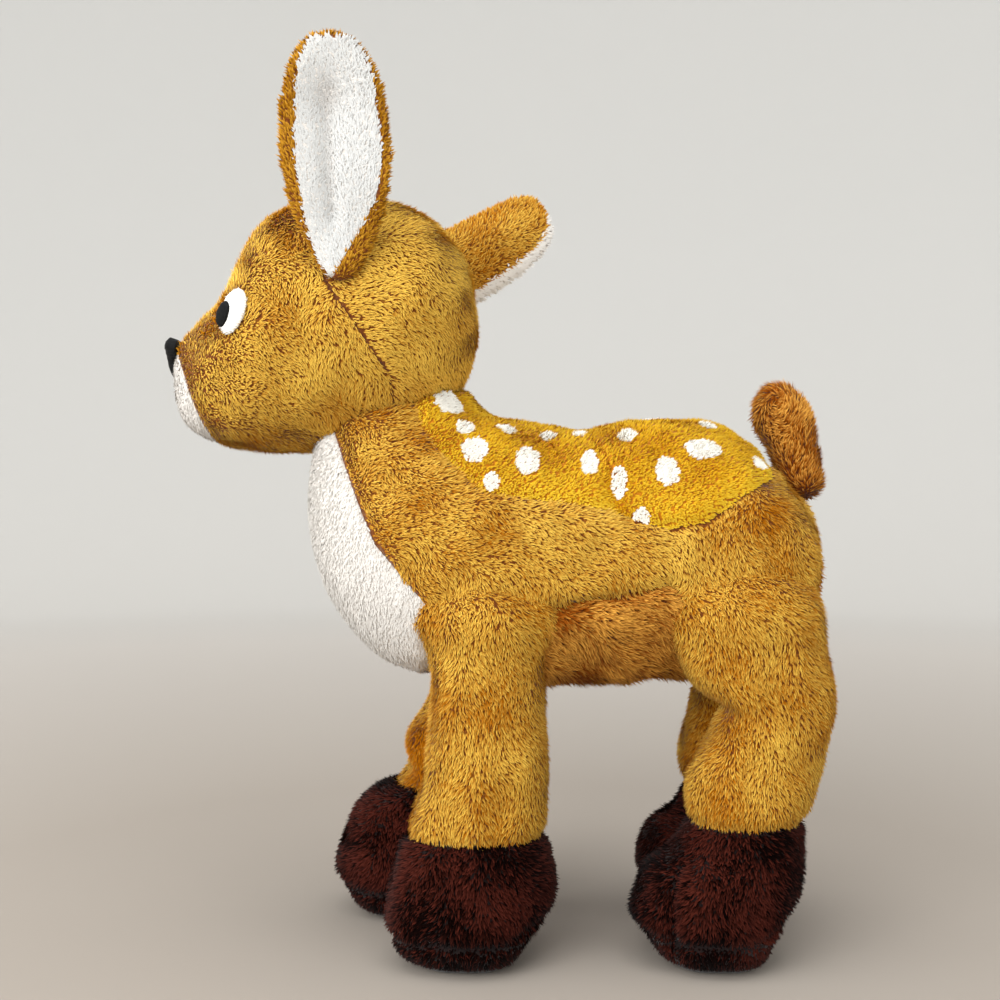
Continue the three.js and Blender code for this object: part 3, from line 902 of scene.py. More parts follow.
def grown(name: str, roots: Roots, coat: Coat, comb: Array, tone: Array, trim: Array) -> bpy.types.Object:
    """The pile that stands on roots, one closed tuft of four faces on each.

    A tuft leans from the normal towards the comb. It is a closed kite, widest a little under
    half way, with a ridge from the root to the tip. Its shading turns over on its underside.
    On its map, u is the tone and v the height.

    Args:
        name: the piece's name.
        roots: where the tufts stand.
        coat: how the pile grows.
        comb: the direction that the pile is combed in at each root.
        tone: from 0, dark, to 0.9, light, and above that a spot.
        trim: the share of the full length at each root.

    Returns:
        The object.
    """
    rng = np.random.default_rng(SEED + len(roots.points))
    count = len(roots.points)
    normal = roots.normals
    comb = comb + rng.normal(scale=coat.stray, size=(count, 3))
    comb = unit(comb - normal * (comb * normal).sum(axis=1, keepdims=True))
    lean_spread, sunk, waist_share, ridge = 0.16, 0.3, 0.42, 0.12
    lean = (coat.lean + rng.normal(scale=lean_spread, size=count))[:, None]
    way = unit(normal * np.cos(lean) + comb * np.sin(lean))
    across = unit(np.cross(normal, comb))
    length = (coat.length * trim * rng.uniform(0.75, 1.2, count))[:, None]
    width = (coat.width * (0.55 + 0.45 * trim) * rng.uniform(0.8, 1.2, count))[:, None]
    foot = roots.points - normal * sunk
    waist = foot + way * length * waist_share - normal * width * ridge
    tip = foot + way * (length + sunk)
    kite = [waist + across * width * 0.5, waist - across * width * 0.5, foot, tip]
    points = np.stack(kite, axis=1).reshape(-1, 3)
    pattern = np.array([[0, 1, 3], [1, 2, 3], [2, 0, 3], [0, 2, 1]])
    faces = (np.arange(count)[:, None, None] * 4 + pattern).reshape(-1, 3)
    order = np.cross(points[faces[0, 1]] - points[faces[0, 0]], points[faces[0, 2]] - points[faces[0, 0]])
    if order @ (points[faces[0]].mean(axis=0) - points[:4].mean(axis=0)) < 0:
        faces = faces[:, ::-1]

    mesh = bpy.data.meshes.new(name)
    mesh.vertices.add(len(points))
    mesh.vertices.foreach_set("co", (points * MM).ravel().astype(np.float32))
    mesh.loops.add(faces.size)
    mesh.loops.foreach_set("vertex_index", faces.ravel().astype(np.int32))
    mesh.polygons.add(len(faces))
    mesh.polygons.foreach_set("loop_start", np.arange(0, faces.size, 3, dtype=np.int32))
    mesh.polygons.foreach_set("use_smooth", np.ones(len(faces), bool))
    mapped = np.where(tone > SPOT_TONE, MAPPED_SPOT, np.clip(tone, *TONES))
    apart = np.array([-0.004, 0.004, 0.0, 0.0])
    height = np.array([0.4, 0.4, 0.0, 1.0])
    place = np.stack([(mapped[:, None] + apart).ravel(), np.tile(height, count)], axis=1)
    uv = mesh.uv_layers.new(name="OFBake")
    uv.data.foreach_set("uv", place[faces.ravel()].ravel().astype(np.float32))
    mesh.update(calc_edges=True)
    side, along = across * 0.45 * coat.relief, comb * 0.35 * coat.relief
    corners = [normal * 0.9 + side, normal * 0.9 - side, normal - comb * 0.2 * coat.relief]
    shade = unit(np.stack([*corners, normal * 0.8 + along], axis=1)).reshape(-1, 3)
    shade = shade[faces].reshape(count, 4, 3, 3)
    shade[:, [0, 3]] = unit(comb * 0.35 - normal * 0.75)[:, None, None]
    mesh.normals_split_custom_set(shade.reshape(-1, 3).astype(np.float32).tolist())
    thing = bpy.data.objects.new(name, mesh)
    bpy.context.scene.collection.objects.link(thing)
    return thing


# Fields over the side view


def flat(points: Array) -> Array:
    """The side view of points: x and z."""
    return points[:, [0, 2]]


def toward(*way: float) -> Field:
    """A comb that points one way everywhere."""
    return lambda points: np.broadcast_to(np.array(way, float), points.shape).copy()


def combed(x: Array, z: Array) -> Array:
    """Vectors that lie in the side view, from their x and z."""
    return np.stack([x, np.zeros(len(x)), z], axis=1)


def patches(base: float, *spots: tuple[float, float, float, float]) -> Field:
    """A tone with soft patches: each is x, z, radius and how much is added.

    Args:
        base: the tone elsewhere.
        spots: the patches of the side view, in millimetres.

    Returns:
        The field.
    """

    def tone(points: Array) -> Array:
        """The base and each patch times the bell curve of the distance to its middle.

        Args:
            points: places in millimetres.

        Returns:
            One tone per point.
        """
        value = np.full(len(points), base)
        for x, z, radius, amount in spots:
            value += amount * bell(np.hypot(points[:, 0] - x, points[:, 2] - z), radius)
        return value

    return tone


# The parts of every sub-assembly


@dataclass
class Workshop:
    """What the sub-assemblies share.

    Attributes:
        materials: each material that is made, by name.
        bodies: the closed skins that hide the pile of others, by name.
        tufts: how many tufts have grown.
    """

    materials: dict[str, bpy.types.Material] = field(default_factory=dict)
    bodies: dict[str, Surface] = field(default_factory=dict)
    tufts: int = 0


@dataclass
class Mount:
    """What a piece moves with.

    Attributes:
        body: the body that it rides on.
        bends_to: the body that it bends towards, or an empty name.
        start: where the bend starts, in millimetres; not used.
        end: where it ends; not used.
    """

    body: str
    bends_to: str = ""
    start: Place = (0.0, 0.0, 0.0)
    end: Place = (0.0, 0.0, 0.0)

    def hold(self, thing: bpy.types.Object) -> None:
        """Makes a finished piece ride on its body, or bakes its place into its mesh if it bends towards
        another body.

        Args:
            thing: the piece, whose mesh is final.
        """
        if self.bends_to:
            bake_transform(thing)
        else:
            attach(thing, self.body)


@dataclass
class Panel:
    """One sewn piece of a padded body.

    Attributes:
        node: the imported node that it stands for.
        backing: the finish of its skin.
        coat: how its pile grows.
        where: a field that is above zero inside the panel, in millimetres from its seam.
        combed: the direction of its pile.
        toned: the tone of its pile.
        trimmed: the share of the pile's full length.
    """

    node: str
    backing: BackingFinish
    coat: Coat
    where: Field
    combed: Field
    toned: Field
    trimmed: Field = patches(1.0)


def seam_margin(points: Array, panels: list[Panel]) -> Array:
    """Distance from the nearest seam: half the lead of the best panel over the next."""
    fields = np.sort(np.stack([p.where(points) for p in panels]), axis=0)
    return (fields[-1] - fields[-2]) / 2


@dataclass
class PaddedBody:
    """A closed padded skin, cut into panels with pile on them.

    Attributes:
        shop: what the sub-assemblies share.
        key: the name of the skin among the bodies.
        mount: what its pieces move with.
        wall: the thickness of the backing.
        voxel: the size of the slack skin's faces.
        stuffing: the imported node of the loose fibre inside, or an empty name.
    """

    shop: Workshop
    key: str
    mount: Mount
    wall: float = 1.4
    voxel: float = 4.0
    stuffing: str = ""

    @property
    def seed(self) -> int:
        """The number that picks the places of its tufts."""
        return SEED

    def hiders(self) -> list[str]:
        """The names of the bodies in which its pile isn't seen."""
        return ["torso"]

    def shape(self) -> None:
        """Builds the closed skin and puts it among the bodies."""
        raise NotImplementedError

    def panels(self) -> list[Panel]:
        """The panels that the skin is sewn from."""
        raise NotImplementedError

    def build(self) -> None:
        """Cuts the panels, plants their pile and puts the fibre in."""
        skin = self.shop.bodies[self.key]
        panels = self.panels()
        self.cut(Surface(skin.points.copy(), skin.faces), panels)
        self.plant(skin, panels)
        if self.stuffing:
            self.fill()

    def cut(self, skin: Surface, panels: list[Panel]) -> None:
        """Cuts the skin into panels, each a thin closed shell, and dresses them.

        A face belongs to the panel in which its middle lies deepest.

        Args:
            skin: the closed skin.
            panels: its panels, which together cover it.
        """
        middles = skin.points[skin.faces].mean(axis=1)
        owner = np.argmax(np.stack([p.where(middles) for p in panels]), axis=0)
        self.meet(skin, panels, owner)
        for number, panel in enumerate(panels):
            piece = skin.part(owner == number)
            thing = mesh_object(panel.node + "_skin", piece.points, piece.faces)
            shell = thing.modifiers.new("Wall", "SOLIDIFY")
            shell.thickness, shell.offset = self.wall * MM, -1
            finished = baked(thing)
            thing = mesh_object(panel.node + "_skin", finished.points, finished.faces)
            thing.data.shade_smooth()
            dress(thing, panel.backing, self.shop.materials)
            self.mount.hold(thing)
            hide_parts(panel.node)
            log.info("%s: %d faces", thing.name, len(finished.faces))

    def meet(self, skin: Surface, panels: list[Panel], owner: Array) -> None:
        """Moves the vertices between two panels onto the seam, where both fields are equal.

        Each takes one step along the skin: minus the gap between the fields times its slope,
        over the slope's square.

        Args:
            skin: the skin, which is changed.
            panels: its panels.
            owner: the number of each face's panel.
        """
        edge = np.zeros((len(panels), len(skin.points)), bool)
        for number in range(len(panels)):
            edge[number, skin.faces[owner == number].ravel()] = True
        between = edge.sum(axis=0) == 2
        if not between.any():
            return
        pair = np.argsort(~edge[:, between], axis=0, kind="stable")[:2]
        at = skin.points[between]

        def gap(points: Array) -> Array:
            """The first panel's field less the second's, for each vertex on the seams.

            Args:
                points: one place per vertex.

            Returns:
                One gap per vertex.
            """
            values = np.stack([p.where(points) for p in panels])
            row = np.arange(points.shape[0])
            return values[pair[0], row] - values[pair[1], row]

        step, flattest, reach = 0.5, 0.05, 1.6
        here = gap(at)
        slope = np.stack([(gap(at + step * axis) - here) / step for axis in np.eye(3)], axis=1)
        normal = skin.normals()[between]
        slope -= normal * (slope * normal).sum(axis=1, keepdims=True)
        steep = (slope**2).sum(axis=1, keepdims=True)
        move = -slope * here[:, None] / np.maximum(steep, flattest)
        length = np.linalg.norm(move, axis=1, keepdims=True)
        skin.points[between] = at + move * np.minimum(1, reach / np.maximum(length, TINY))

    def fill(self) -> None:
        """Makes the loose fibre inside: the skin, remeshed, smoothed and drawn in."""
        own, depth, lumps = self.shop.bodies[self.key], 3.6, 0.4
        skin = remeshed(own.points, own.faces, 4.0)
        skin.relax(4)
        skin.swell(-depth + lumps * waves(skin.points, 12, 5))
        thing = mesh_object(self.stuffing + "_fibre", skin.points, skin.faces)
        thing.data.shade_smooth()
        dress(thing, FIBRE, self.shop.materials)
        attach(thing, self.mount.bends_to or self.mount.body)
        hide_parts(self.stuffing)
        log.info("%s: %d faces", thing.name, len(skin.faces))

    def seen(self, roots: Roots) -> Roots:
        """The roots that don't lie deep inside the bodies that hide them.

        Args:
            roots: places on the skin.

        Returns:
            The roots that stay.
        """
        deepest = 3.5
        for name in self.hiders():
            other = self.shop.bodies[name]
            low, high = other.points.min(axis=0), other.points.max(axis=0)
            near = ((roots.points > low) & (roots.points < high)).all(axis=1)
            keep = np.ones(len(roots.points), bool)
            keep[near] = depth_inside(roots.points[near], other.tree()) < deepest
            roots = roots.kept(keep)
        return roots

    def plant(self, skin: Surface, panels: list[Panel]) -> None:
        """Plants each panel's pile, except deep inside other bodies.

        Pile that is pressed to under half its length is thinned too. Each tuft's tone is the
        panel's, with slow waves and a share of chance, and the comb turns aside in waves.

        Args:
            skin: the skin that the tufts stand on.
            panels: the body's panels.
        """
        densest = max(p.coat.density for p in panels)
        share = 1.0
        roots = self.seen(sown(skin, densest * share, self.seed))
        owner = np.argmax(np.stack([p.where(roots.points) for p in panels]), axis=0)
        rng = np.random.default_rng(self.seed + 1)
        draw = rng.random(len(owner))
        for number, panel in enumerate(panels):
            coat = panel.coat
            standing = np.clip(2 * panel.trimmed(roots.points), THINNEST, 1)
            mine = roots.kept((owner == number) & (draw < standing * coat.density / densest))
            if coat.finish.spot:
                mine = self.thickened(skin, panel, mine)
            uneven = coat.finish.uneven
            spread = waves(mine.points, TONE_WAVE, self.seed + 2) * TONE_DRIFT * uneven
            spread += rng.normal(scale=uneven, size=len(mine.points))
            tone = panel.toned(mine.points)
            tone = np.where(tone > SPOT_TONE, tone, np.clip(tone + spread, *TONES))
            swirl = waves(mine.points, COMB_WAVE, self.seed + 3)[:, None] * COMB_DRIFT * coat.relief
            comb = unit(panel.combed(mine.points))
            comb = comb + swirl * np.cross(mine.normals, comb)
            self.grow(panel, mine, comb, tone)

    def grow(self, panel: Panel, roots: Roots, comb: Array, tone: Array) -> None:
        """Grows a panel's pile, in as many pieces as keep each within its share of triangles.

        Args:
            panel: the panel.
            roots: where its tufts stand.
            comb: the direction of each.
            tone: the tone of each.
        """
        pieces = int(np.ceil(len(roots.points) / PIECE_TUFTS))
        for part in range(pieces):
            chosen = np.arange(len(roots.points)) % pieces == part
            name = f"{panel.node}_pile" + (f"_{part + 1}" if pieces > 1 else "")
            trim = panel.trimmed(roots.points[chosen])
            thing = grown(name, roots.kept(chosen), panel.coat, comb[chosen], tone[chosen], trim)
            dress(thing, panel.coat.finish, self.shop.materials)
            self.mount.hold(thing)
        self.shop.tufts += len(roots.points)
        log.info("%s: %d tufts in %d pieces", panel.node, len(roots.points), pieces)

    def thickened(self, skin: Surface, panel: Panel, roots: Roots) -> Roots:
        """A spotted panel's roots, with three times as many inside its spots.

        Args:
            skin: the skin that the tufts stand on.
            panel: the spotted panel.
            roots: the roots that it has.

        Returns:
            The roots with the new ones after them.
        """
        inside = skin.part(panel.where(skin.points[skin.faces].mean(axis=1)) > 0)
        more = sown(inside, 2.0 * panel.coat.density, self.seed + 9)
        more = more.kept(panel.toned(more.points) > SPOT_TONE)
        points = np.concatenate([roots.points, more.points])
        return Roots(points, np.concatenate([roots.normals, more.normals]))


@dataclass
class LoftedBody(PaddedBody):
    """A padded body whose blank is lofted through rings of the side view.

    Attributes:
        low_x, low_z: its front end and its underside.
        length, height, width: its size along X, Z and Y.
        rows: rings as shares: upper x and z, lower x and z, half width.
        roundness: the rings' roundness, two for ellipses.
        rounds: rounds of smoothing for the blank.
        slack: how far the blank is drawn in before it is blown up.
        pressure: the pressure that it is blown up with.
        cap: how far it may swell.
    """

    low_x: float = 0.0
    low_z: float = 0.0
    length: float = 0.0
    height: float = 0.0
    width: float = 0.0
    rows: tuple = ()
    roundness: float = 2.0
    rounds: int = 6
    slack: float = 2.0
    pressure: float = 2.0
    cap: float = 3.0

    def place(self, shares: tuple | Array) -> Array:
        """Points of the side view from shares of the body."""
        return np.asarray(shares) * [self.length, self.height] + [self.low_x, self.low_z]

    def blown(self, panels: list[Panel]) -> Surface:
        """The padded skin: lofted, remeshed, drawn in and puffed between its seams.

        Args:
            panels: the panels whose seams hold it in.

        Returns:
            The skin, subdivided once.
        """
        shares = resampled(self.rows, 64)
        top, low = self.place(shares[:, 0:2]), self.place(shares[:, 2:4])
        rows = np.concatenate([top, low, shares[:, 4:] * self.width / 2], axis=1)
        skin = remeshed(*loft(ladder(rows, 0, self.roundness, 72)), self.voxel)
        skin.relax(self.rounds)
        skin.swell(-self.slack)
        held = bell(seam_margin(skin.points, panels), SEAM_HOLD)
        skin = puffed(skin, held, self.pressure, self.cap)
        skin.relax(2)
        return subdivided(skin)


# Torso


@dataclass
class Torso(LoftedBody):
    """The chest, flanks, back and belly, in five panels round one padded body.

    Attributes:
        saddle_seam: the seam under the saddle, as shares.
        chest_seam: the seam behind the chest, as shares.
        belly_seam: the height of the belly's seam, as a share.
        spots: each spot's x and z, half length and half width.
        fold_line: the fold that crosses the saddle, in the side view.
    """

    low_x: float = -70.65
    low_z: float = 93.0
    length: float = 190.0
    height: float = 98.0
    width: float = 92.0
    roundness: float = 2.3
    rounds: int = 8
    slack: float = 1.7
    pressure: float = 2.5
    cap: float = 3.5
    stuffing: str = "torso_stuffing"
    rows: tuple = (
        (0.330, 1.165, 0.010, 1.010, 0.60),
        (0.340, 1.085, 0.012, 0.935, 0.67),
        (0.356, 1.070, 0.000, 0.740, 0.76),
        (0.378, 1.052, 0.010, 0.530, 0.86),
        (0.412, 1.030, 0.052, 0.310, 0.94),
        (0.470, 1.008, 0.150, 0.098, 0.99),
        (0.560, 0.998, 0.300, 0.012, 1.00),
        (0.670, 1.036, 0.505, 0.000, 0.97),
        (0.790, 1.027, 0.700, 0.020, 0.98),
        (0.895, 0.905, 0.865, 0.060, 0.95),
        (0.965, 0.740, 0.955, 0.185, 0.80),
        (0.995, 0.600, 0.990, 0.340, 0.52),
        (1.000, 0.470, 1.000, 0.470, 0.00),
    )
    saddle_seam: tuple = (
        (0.215, 1.120), (0.235, 0.985), (0.290, 0.850), (0.350, 0.745), (0.430, 0.720), (0.560, 0.690),
        (0.690, 0.612), (0.760, 0.640), (0.840, 0.745), (0.900, 0.800), (0.920, 1.100),
    )
    chest_seam: tuple = (
        (0.040, 1.100), (0.068, 0.975), (0.110, 0.760), (0.154, 0.560), (0.224, 0.400), (0.255, 0.330),
        (0.255, -0.100),
    )
    belly_seam: float = 0.36
    spots: tuple = (
        (-16.3, 198.2, 6.6, 4.6), (-10.5, 189.0, 3.1, 3.1), (-6.8, 181.0, 4.7, 4.8),
        (-1.0, 169.6, 2.7, 3.5), (4.4, 188.6, 3.8, 2.8), (11.6, 177.0, 4.1, 6.2),
        (19.4, 186.0, 2.9, 3.1), (31.0, 187.0, 2.4, 2.5), (33.6, 176.0, 3.1, 5.4),
        (43.6, 169.0, 2.6, 6.0), (47.6, 186.3, 3.3, 3.8), (51.2, 156.6, 2.8, 4.2),
        (60.6, 173.4, 3.9, 6.2), (59.6, 192.6, 3.8, 3.0), (74.2, 181.3, 6.4, 5.0),
        (78.0, 190.5, 3.0, 2.8), (95.2, 176.4, 2.8, 3.0),
    )
    fold_line: tuple = ((33.0, 190.0), (37.0, 180.0), (41.0, 168.0), (47.0, 155.0))

    def hiders(self) -> list[str]:
        """Every other body: all of them are sewn to the torso."""
        return [name for name in self.shop.bodies if name != self.key]

    def belly(self, points: Array) -> Array:
        """How far below the belly's seam, which rises towards the hip and drops behind the legs.

        Args:
            points: places in millimetres.

        Returns:
            One distance per point.
        """
        middle, before_middle, rise, drop = 40, 7, 0.2, 45
        along = points[:, 0] - middle
        seam = self.low_z + self.belly_seam * self.height + rise * (along + before_middle)
        hidden = ramp(np.abs(along), 22, 36) * ramp(np.abs(points[:, 1]), 22, 36)
        return seam - drop * hidden - points[:, 2]

    def on_saddle(self, points: Array) -> Array:
        """Above the saddle's seam."""
        return line_offset(flat(points), self.place(self.saddle_seam))

    def on_chest(self, points: Array) -> Array:
        """In front of the chest's seam."""
        return -line_offset(flat(points), self.place(self.chest_seam))

    def on_belly(self, points: Array) -> Array:
        """Below the belly's seam and behind the chest."""
        return np.minimum(self.belly(points), -self.on_chest(points))

    def beside(self, side: Side) -> Field:
        """What no other panel covers, on one side."""
        others = (self.on_saddle, self.on_chest, self.belly)
        return lambda p: np.minimum.reduce([*(-other(p) for other in others), side.value * p[:, 1]])

    def panels(self) -> list[Panel]:
        """The five panels, by their seams in the side view.

        Returns:
            The panels.
        """
        # Painted shade and light on the belly: darkest at its front corner, in the front leg's shadow, and
        # darker beside the thigh
        mottled_and_shaded = patches(
            0.56, (21, 121, 8, -0.6), (30, 113, 7, 0.16), (44, 120, 9, 0.3), (34, 104, 7, -0.25),
            (52, 112, 6, -0.3), (63, 118, 6, -0.3),
        )
        # Painted shade and light: darker and lighter patches where the pile's lie shades the flank, the
        # shoulder and the rump, and a row of painted shade along the crease where the neck meets the head
        worn = patches(
            0.58, (-30, 172, 18, -0.12), (97, 152, 15, -0.5), (62, 140, 14, 0.14), (22, 140, 16, 0.1),
            (-8, 160, 10, -0.16), (-60, 184, 5, -0.3), (-50, 189, 5, -0.3), (-40, 194, 5, -0.3),
            (-31, 198, 5, -0.3),
        )

        def shaded(points: Array) -> Array:
            """The belly's tone: mottled with painted shade and light, and painted shade along the seam under
            the flank.
            """
            return mottled_and_shaded(points) - 0.35 * bell(self.on_belly(points), 3.5)

        brown, saddle = (BROWN_BACKING, BROWN_COAT), (SADDLE_BACKING, SADDLE_COAT)
        white, belly = (WHITE_BACKING, WHITE_COAT), (BELLY_BACKING, BELLY_COAT)
        sides = [
            Panel(f"{side.word}_side_panel", *brown, self.beside(side), self.side_comb, worn)
            for side in Side
        ]
        return sides + [
            Panel("saddle_panel", *saddle, self.on_saddle, toward(1, 0, -0.35), self.spotted),
            Panel("chest_panel", *white, self.on_chest, toward(0.3, 0, -1), patches(0.5)),
            Panel("belly_panel", *belly, self.on_belly, toward(1, 0, -0.5), shaded),
        ]

    def side_comb(self, points: Array) -> Array:
        """Backwards on the flank, down over the shoulder and thigh, and in to the pinch behind.

        Args:
            points: places in millimetres.

        Returns:
            One direction per point.
        """
        x, z = points[:, 0], points[:, 2]
        pinch_x, pinch_z, pinch_size = 62, 134, 8
        down = 0.25 + 1.6 * ramp(-z, -150, -118) + 0.9 * ramp(x, 40, 62)
        comb = combed(1.0 - 0.8 * ramp(x, 50, 90), -down)
        pinch = combed(pinch_x - x, pinch_z - z)
        return comb + 3 * bell(np.linalg.norm(pinch, axis=1), pinch_size)[:, None] * unit(pinch)

    def spotted(self, points: Array) -> Array:
        """The saddle's tone, with painted shade along the fold that crosses it, and above the spots' tone
        inside a spot.

        A spot is an ellipse round a place on the skin, with a ragged edge: its half length
        lies along X and its half width round the body.

        Args:
            points: places in millimetres.

        Returns:
            One tone per point.
        """
        tone = 0.42 + 0.2 * bell(self.on_saddle(points), 7)
        # Painted shade in the fold that crosses the saddle
        tone -= 0.5 * bell(self.fold_offset(points), 2.6) * ramp(-points[:, 2], -176, -160)
        ragged = 1 + 0.12 * waves(points, 3.0, 91)
        for x, z, half_length, half_width in self.spots:
            y = self.half_width_at(x, z)
            along = (points[:, 0] - x) / half_length
            round_it = np.hypot(np.abs(points[:, 1]) - y, points[:, 2] - z) / half_width
            tone = np.where(along**2 + round_it**2 < ragged, 1.0, tone)
        return tone

    def half_width_at(self, x: float, z: float) -> float:
        """How far out the flank lies at a place of the side view, or a little over the back.

        Args:
            x, z: the place, in millimetres.

        Returns:
            The distance from the toy's middle.
        """
        outside, on_ridge = -200, 10.0
        hit = self.shop.bodies[self.key].tree().ray_cast(Vector((x, outside, z)), Vector((0, 1, 0)))[0]
        return on_ridge if hit is None else abs(hit.y)

    def fold_offset(self, points: Array) -> Array:
        """Distance from the fold that crosses the saddle, far away past the fold's ends.

        Args:
            points: places in millimetres.

        Returns:
            One distance per point.
        """
        off = line_offset(flat(points), np.array(self.fold_line))
        ends = ramp(points[:, 2], 150, 158) * ramp(-points[:, 2], -187, -179)
        least = 0.05
        return np.where(ends > least, np.abs(off) / np.maximum(ends, least), FAR)

    def shape(self) -> None:
        """Builds the padded body and sculpts its seams, its fold, its lumps and the rump."""
        panels = self.panels()
        skin = self.blown(panels)
        margin = seam_margin(skin.points, panels)
        skin.swell(-1.3 * bell(margin, 2.6) - 1.7 * bell(self.fold_offset(skin.points), 3.2))
        skin.swell(-1.8 * bell(self.on_belly(skin.points) - 1, 3.2))
        calm = 1 - 0.8 * ramp(self.on_chest(skin.points), 0, 8)
        skin.swell(calm * (0.5 * waves(skin.points, 30, 7) + 0.25 * waves(skin.points, 12, 8)))
        rump_x, rump_z, rump_size = 120, 148, 16
        rump = bell(np.hypot(skin.points[:, 0] - rump_x, skin.points[:, 2] - rump_z), rump_size)
        skin.swell(2.2 * rump)
        self.shop.bodies[self.key] = skin


# Head


@dataclass
class Head(LoftedBody):
    """The head: two face panels, the back of the head and the white muzzle.

    Attributes:
        cheek_seam: the seam from the ear down the cheek, as shares.
        muzzle_seam: the seam round the muzzle, as shares.
        brow: the middle of the dent over the eyes, in the side view.
    """

    low_x: float = -121.01
    low_z: float = 180.46
    length: float = 117.0
    height: float = 97.0
    width: float = 88.0
    roundness: float = 2.15
    stuffing: str = "head_stuffing"
    rows: tuple = (
        (0.004, 0.296, 0.004, 0.296, 0.00),
        (0.013, 0.397, 0.004, 0.226, 0.22),
        (0.045, 0.470, 0.020, 0.142, 0.39),
        (0.103, 0.555, 0.070, 0.066, 0.53),
        (0.168, 0.630, 0.168, 0.008, 0.70),
        (0.220, 0.775, 0.310, -0.010, 0.87),
        (0.317, 0.930, 0.437, -0.006, 0.97),
        (0.492, 1.000, 0.566, 0.010, 1.00),
        (0.696, 0.988, 0.718, 0.062, 0.98),
        (0.857, 0.912, 0.848, 0.132, 0.87),
        (0.957, 0.748, 0.932, 0.226, 0.66),
        (0.990, 0.576, 0.980, 0.358, 0.38),
        (0.997, 0.464, 0.997, 0.464, 0.00),
    )
    cheek_seam: tuple = (
        (0.480, 1.200), (0.490, 0.720), (0.550, 0.590), (0.640, 0.420), (0.720, 0.270), (0.760, -0.100),
    )
    muzzle_seam: tuple = (
        (-0.050, 0.400), (0.042, 0.380), (0.076, 0.280), (0.107, 0.180), (0.140, 0.070), (0.150, -0.080),
    )
    brow: tuple[float, float] = (-98.0, 249.0)

    @property
    def seed(self) -> int:
        """The number that picks the places of its tufts."""
        return SEED + 100

    def behind(self, points: Array) -> Array:
        """Behind the cheek's seam."""
        return line_offset(flat(points), self.place(self.cheek_seam))

    def under(self, points: Array) -> Array:
        """Under the muzzle's seam."""
        return -line_offset(flat(points), self.place(self.muzzle_seam))

    def face(self, side: Side) -> Field:
        """Between the two seams, on one side."""
        return lambda p: np.minimum.reduce([-self.behind(p), -self.under(p), side.value * p[:, 1]])

    def panels(self) -> list[Panel]:
        """The four panels, by their seams in the side view.

        Returns:
            The panels.
        """
        # Painted shade and light: the patches in the brow's dent, under the chin and on the cheek and neck
        # seams darken where shade falls, and the one at the forehead's front edge lightens it where the lamps
        # leave it dark
        worn = patches(
            0.78, (-72, 254, 7, -0.4), (*self.brow, 6, -0.5), (-66, 230, 12, -0.16),
            (-90, 183, 7, -0.5), (-76, 180, 8, -0.5), (-60, 180, 8, -0.4), (-40, 216, 9, -0.12),
            (-46, 192, 7, -0.15), (-92, 252, 12, 0.25), (-110, 212, 12, 0.3), (-108, 228, 9, 0.25),
        )
        brown, white = (BROWN_BACKING, BROWN_COAT), (WHITE_BACKING, WHITE_COAT)
        comb, trim, chin = self.face_comb, self.face_trim, toward(0.5, 0, -1)
        faces = [Panel(f"{side.word}_face_panel", *brown, self.face(side), comb, worn, trim) for side in Side]
        return faces + [
            Panel("back_of_head_panel", *brown, self.behind, self.back_comb, patches(0.88)),
            Panel("muzzle_panel", *white, self.under, chin, patches(0.5), trim),
        ]

    @staticmethod
    def face_comb(points: Array) -> Array:
        """Backwards on the muzzle and cheek, up on the brow, and away from a whorl on the cheek.

        Args:
            points: places in millimetres.

        Returns:
            One direction per point.
        """
        x, z = points[:, 0], points[:, 2]
        whorl_x, whorl_z, brow_x, brow_z = -55, 236, -100, 254
        turn = ramp(x, -88, -50)
        drop = 0.1 + 0.9 * turn + 0.7 * ramp(z, 222, 250)
        out = combed(x - whorl_x, z - whorl_z)
        whorl = 1.2 * bell(np.linalg.norm(out, axis=1), 16)[:, None] * unit(out)
        brow = 2.6 * bell(np.hypot(x - brow_x, z - brow_z), 17)[:, None] * [0.5, 0, 1]
        return combed(1 - 0.6 * turn, -drop) + whorl + brow

    @staticmethod
    def back_comb(points: Array) -> Array:
        """Backwards, turning down at the back of the head."""
        turn = ramp(points[:, 0], -45, -8)
        return combed(1 - 0.8 * turn, -0.2 - turn)

    @staticmethod
    def face_trim(points: Array) -> Array:
        """Short pile round the nose, growing to full length behind the eyes."""
        return 0.8 + 0.2 * ramp(points[:, 0], -118, -88)

    def shape(self) -> None:
        """Builds the padded body and sculpts its seams and the dent of the brow."""
        panels = self.panels()
        skin = self.blown(panels)
        margin = seam_margin(skin.points, panels)
        muzzle_end = -95
        depth = np.where(skin.points[:, 0] < muzzle_end, 0.5, 0.6)
        skin.swell(-depth * bell(margin, 2.4) + 0.35 * waves(skin.points, 24, 17))
        size, dent = 18, 4.2
        brow = bell(np.hypot(skin.points[:, 0] - self.brow[0], skin.points[:, 2] - self.brow[1]), size)
        skin.swell(-dent * brow * bell(skin.points[:, 1], size))
        self.shop.bodies[self.key] = skin


# Face


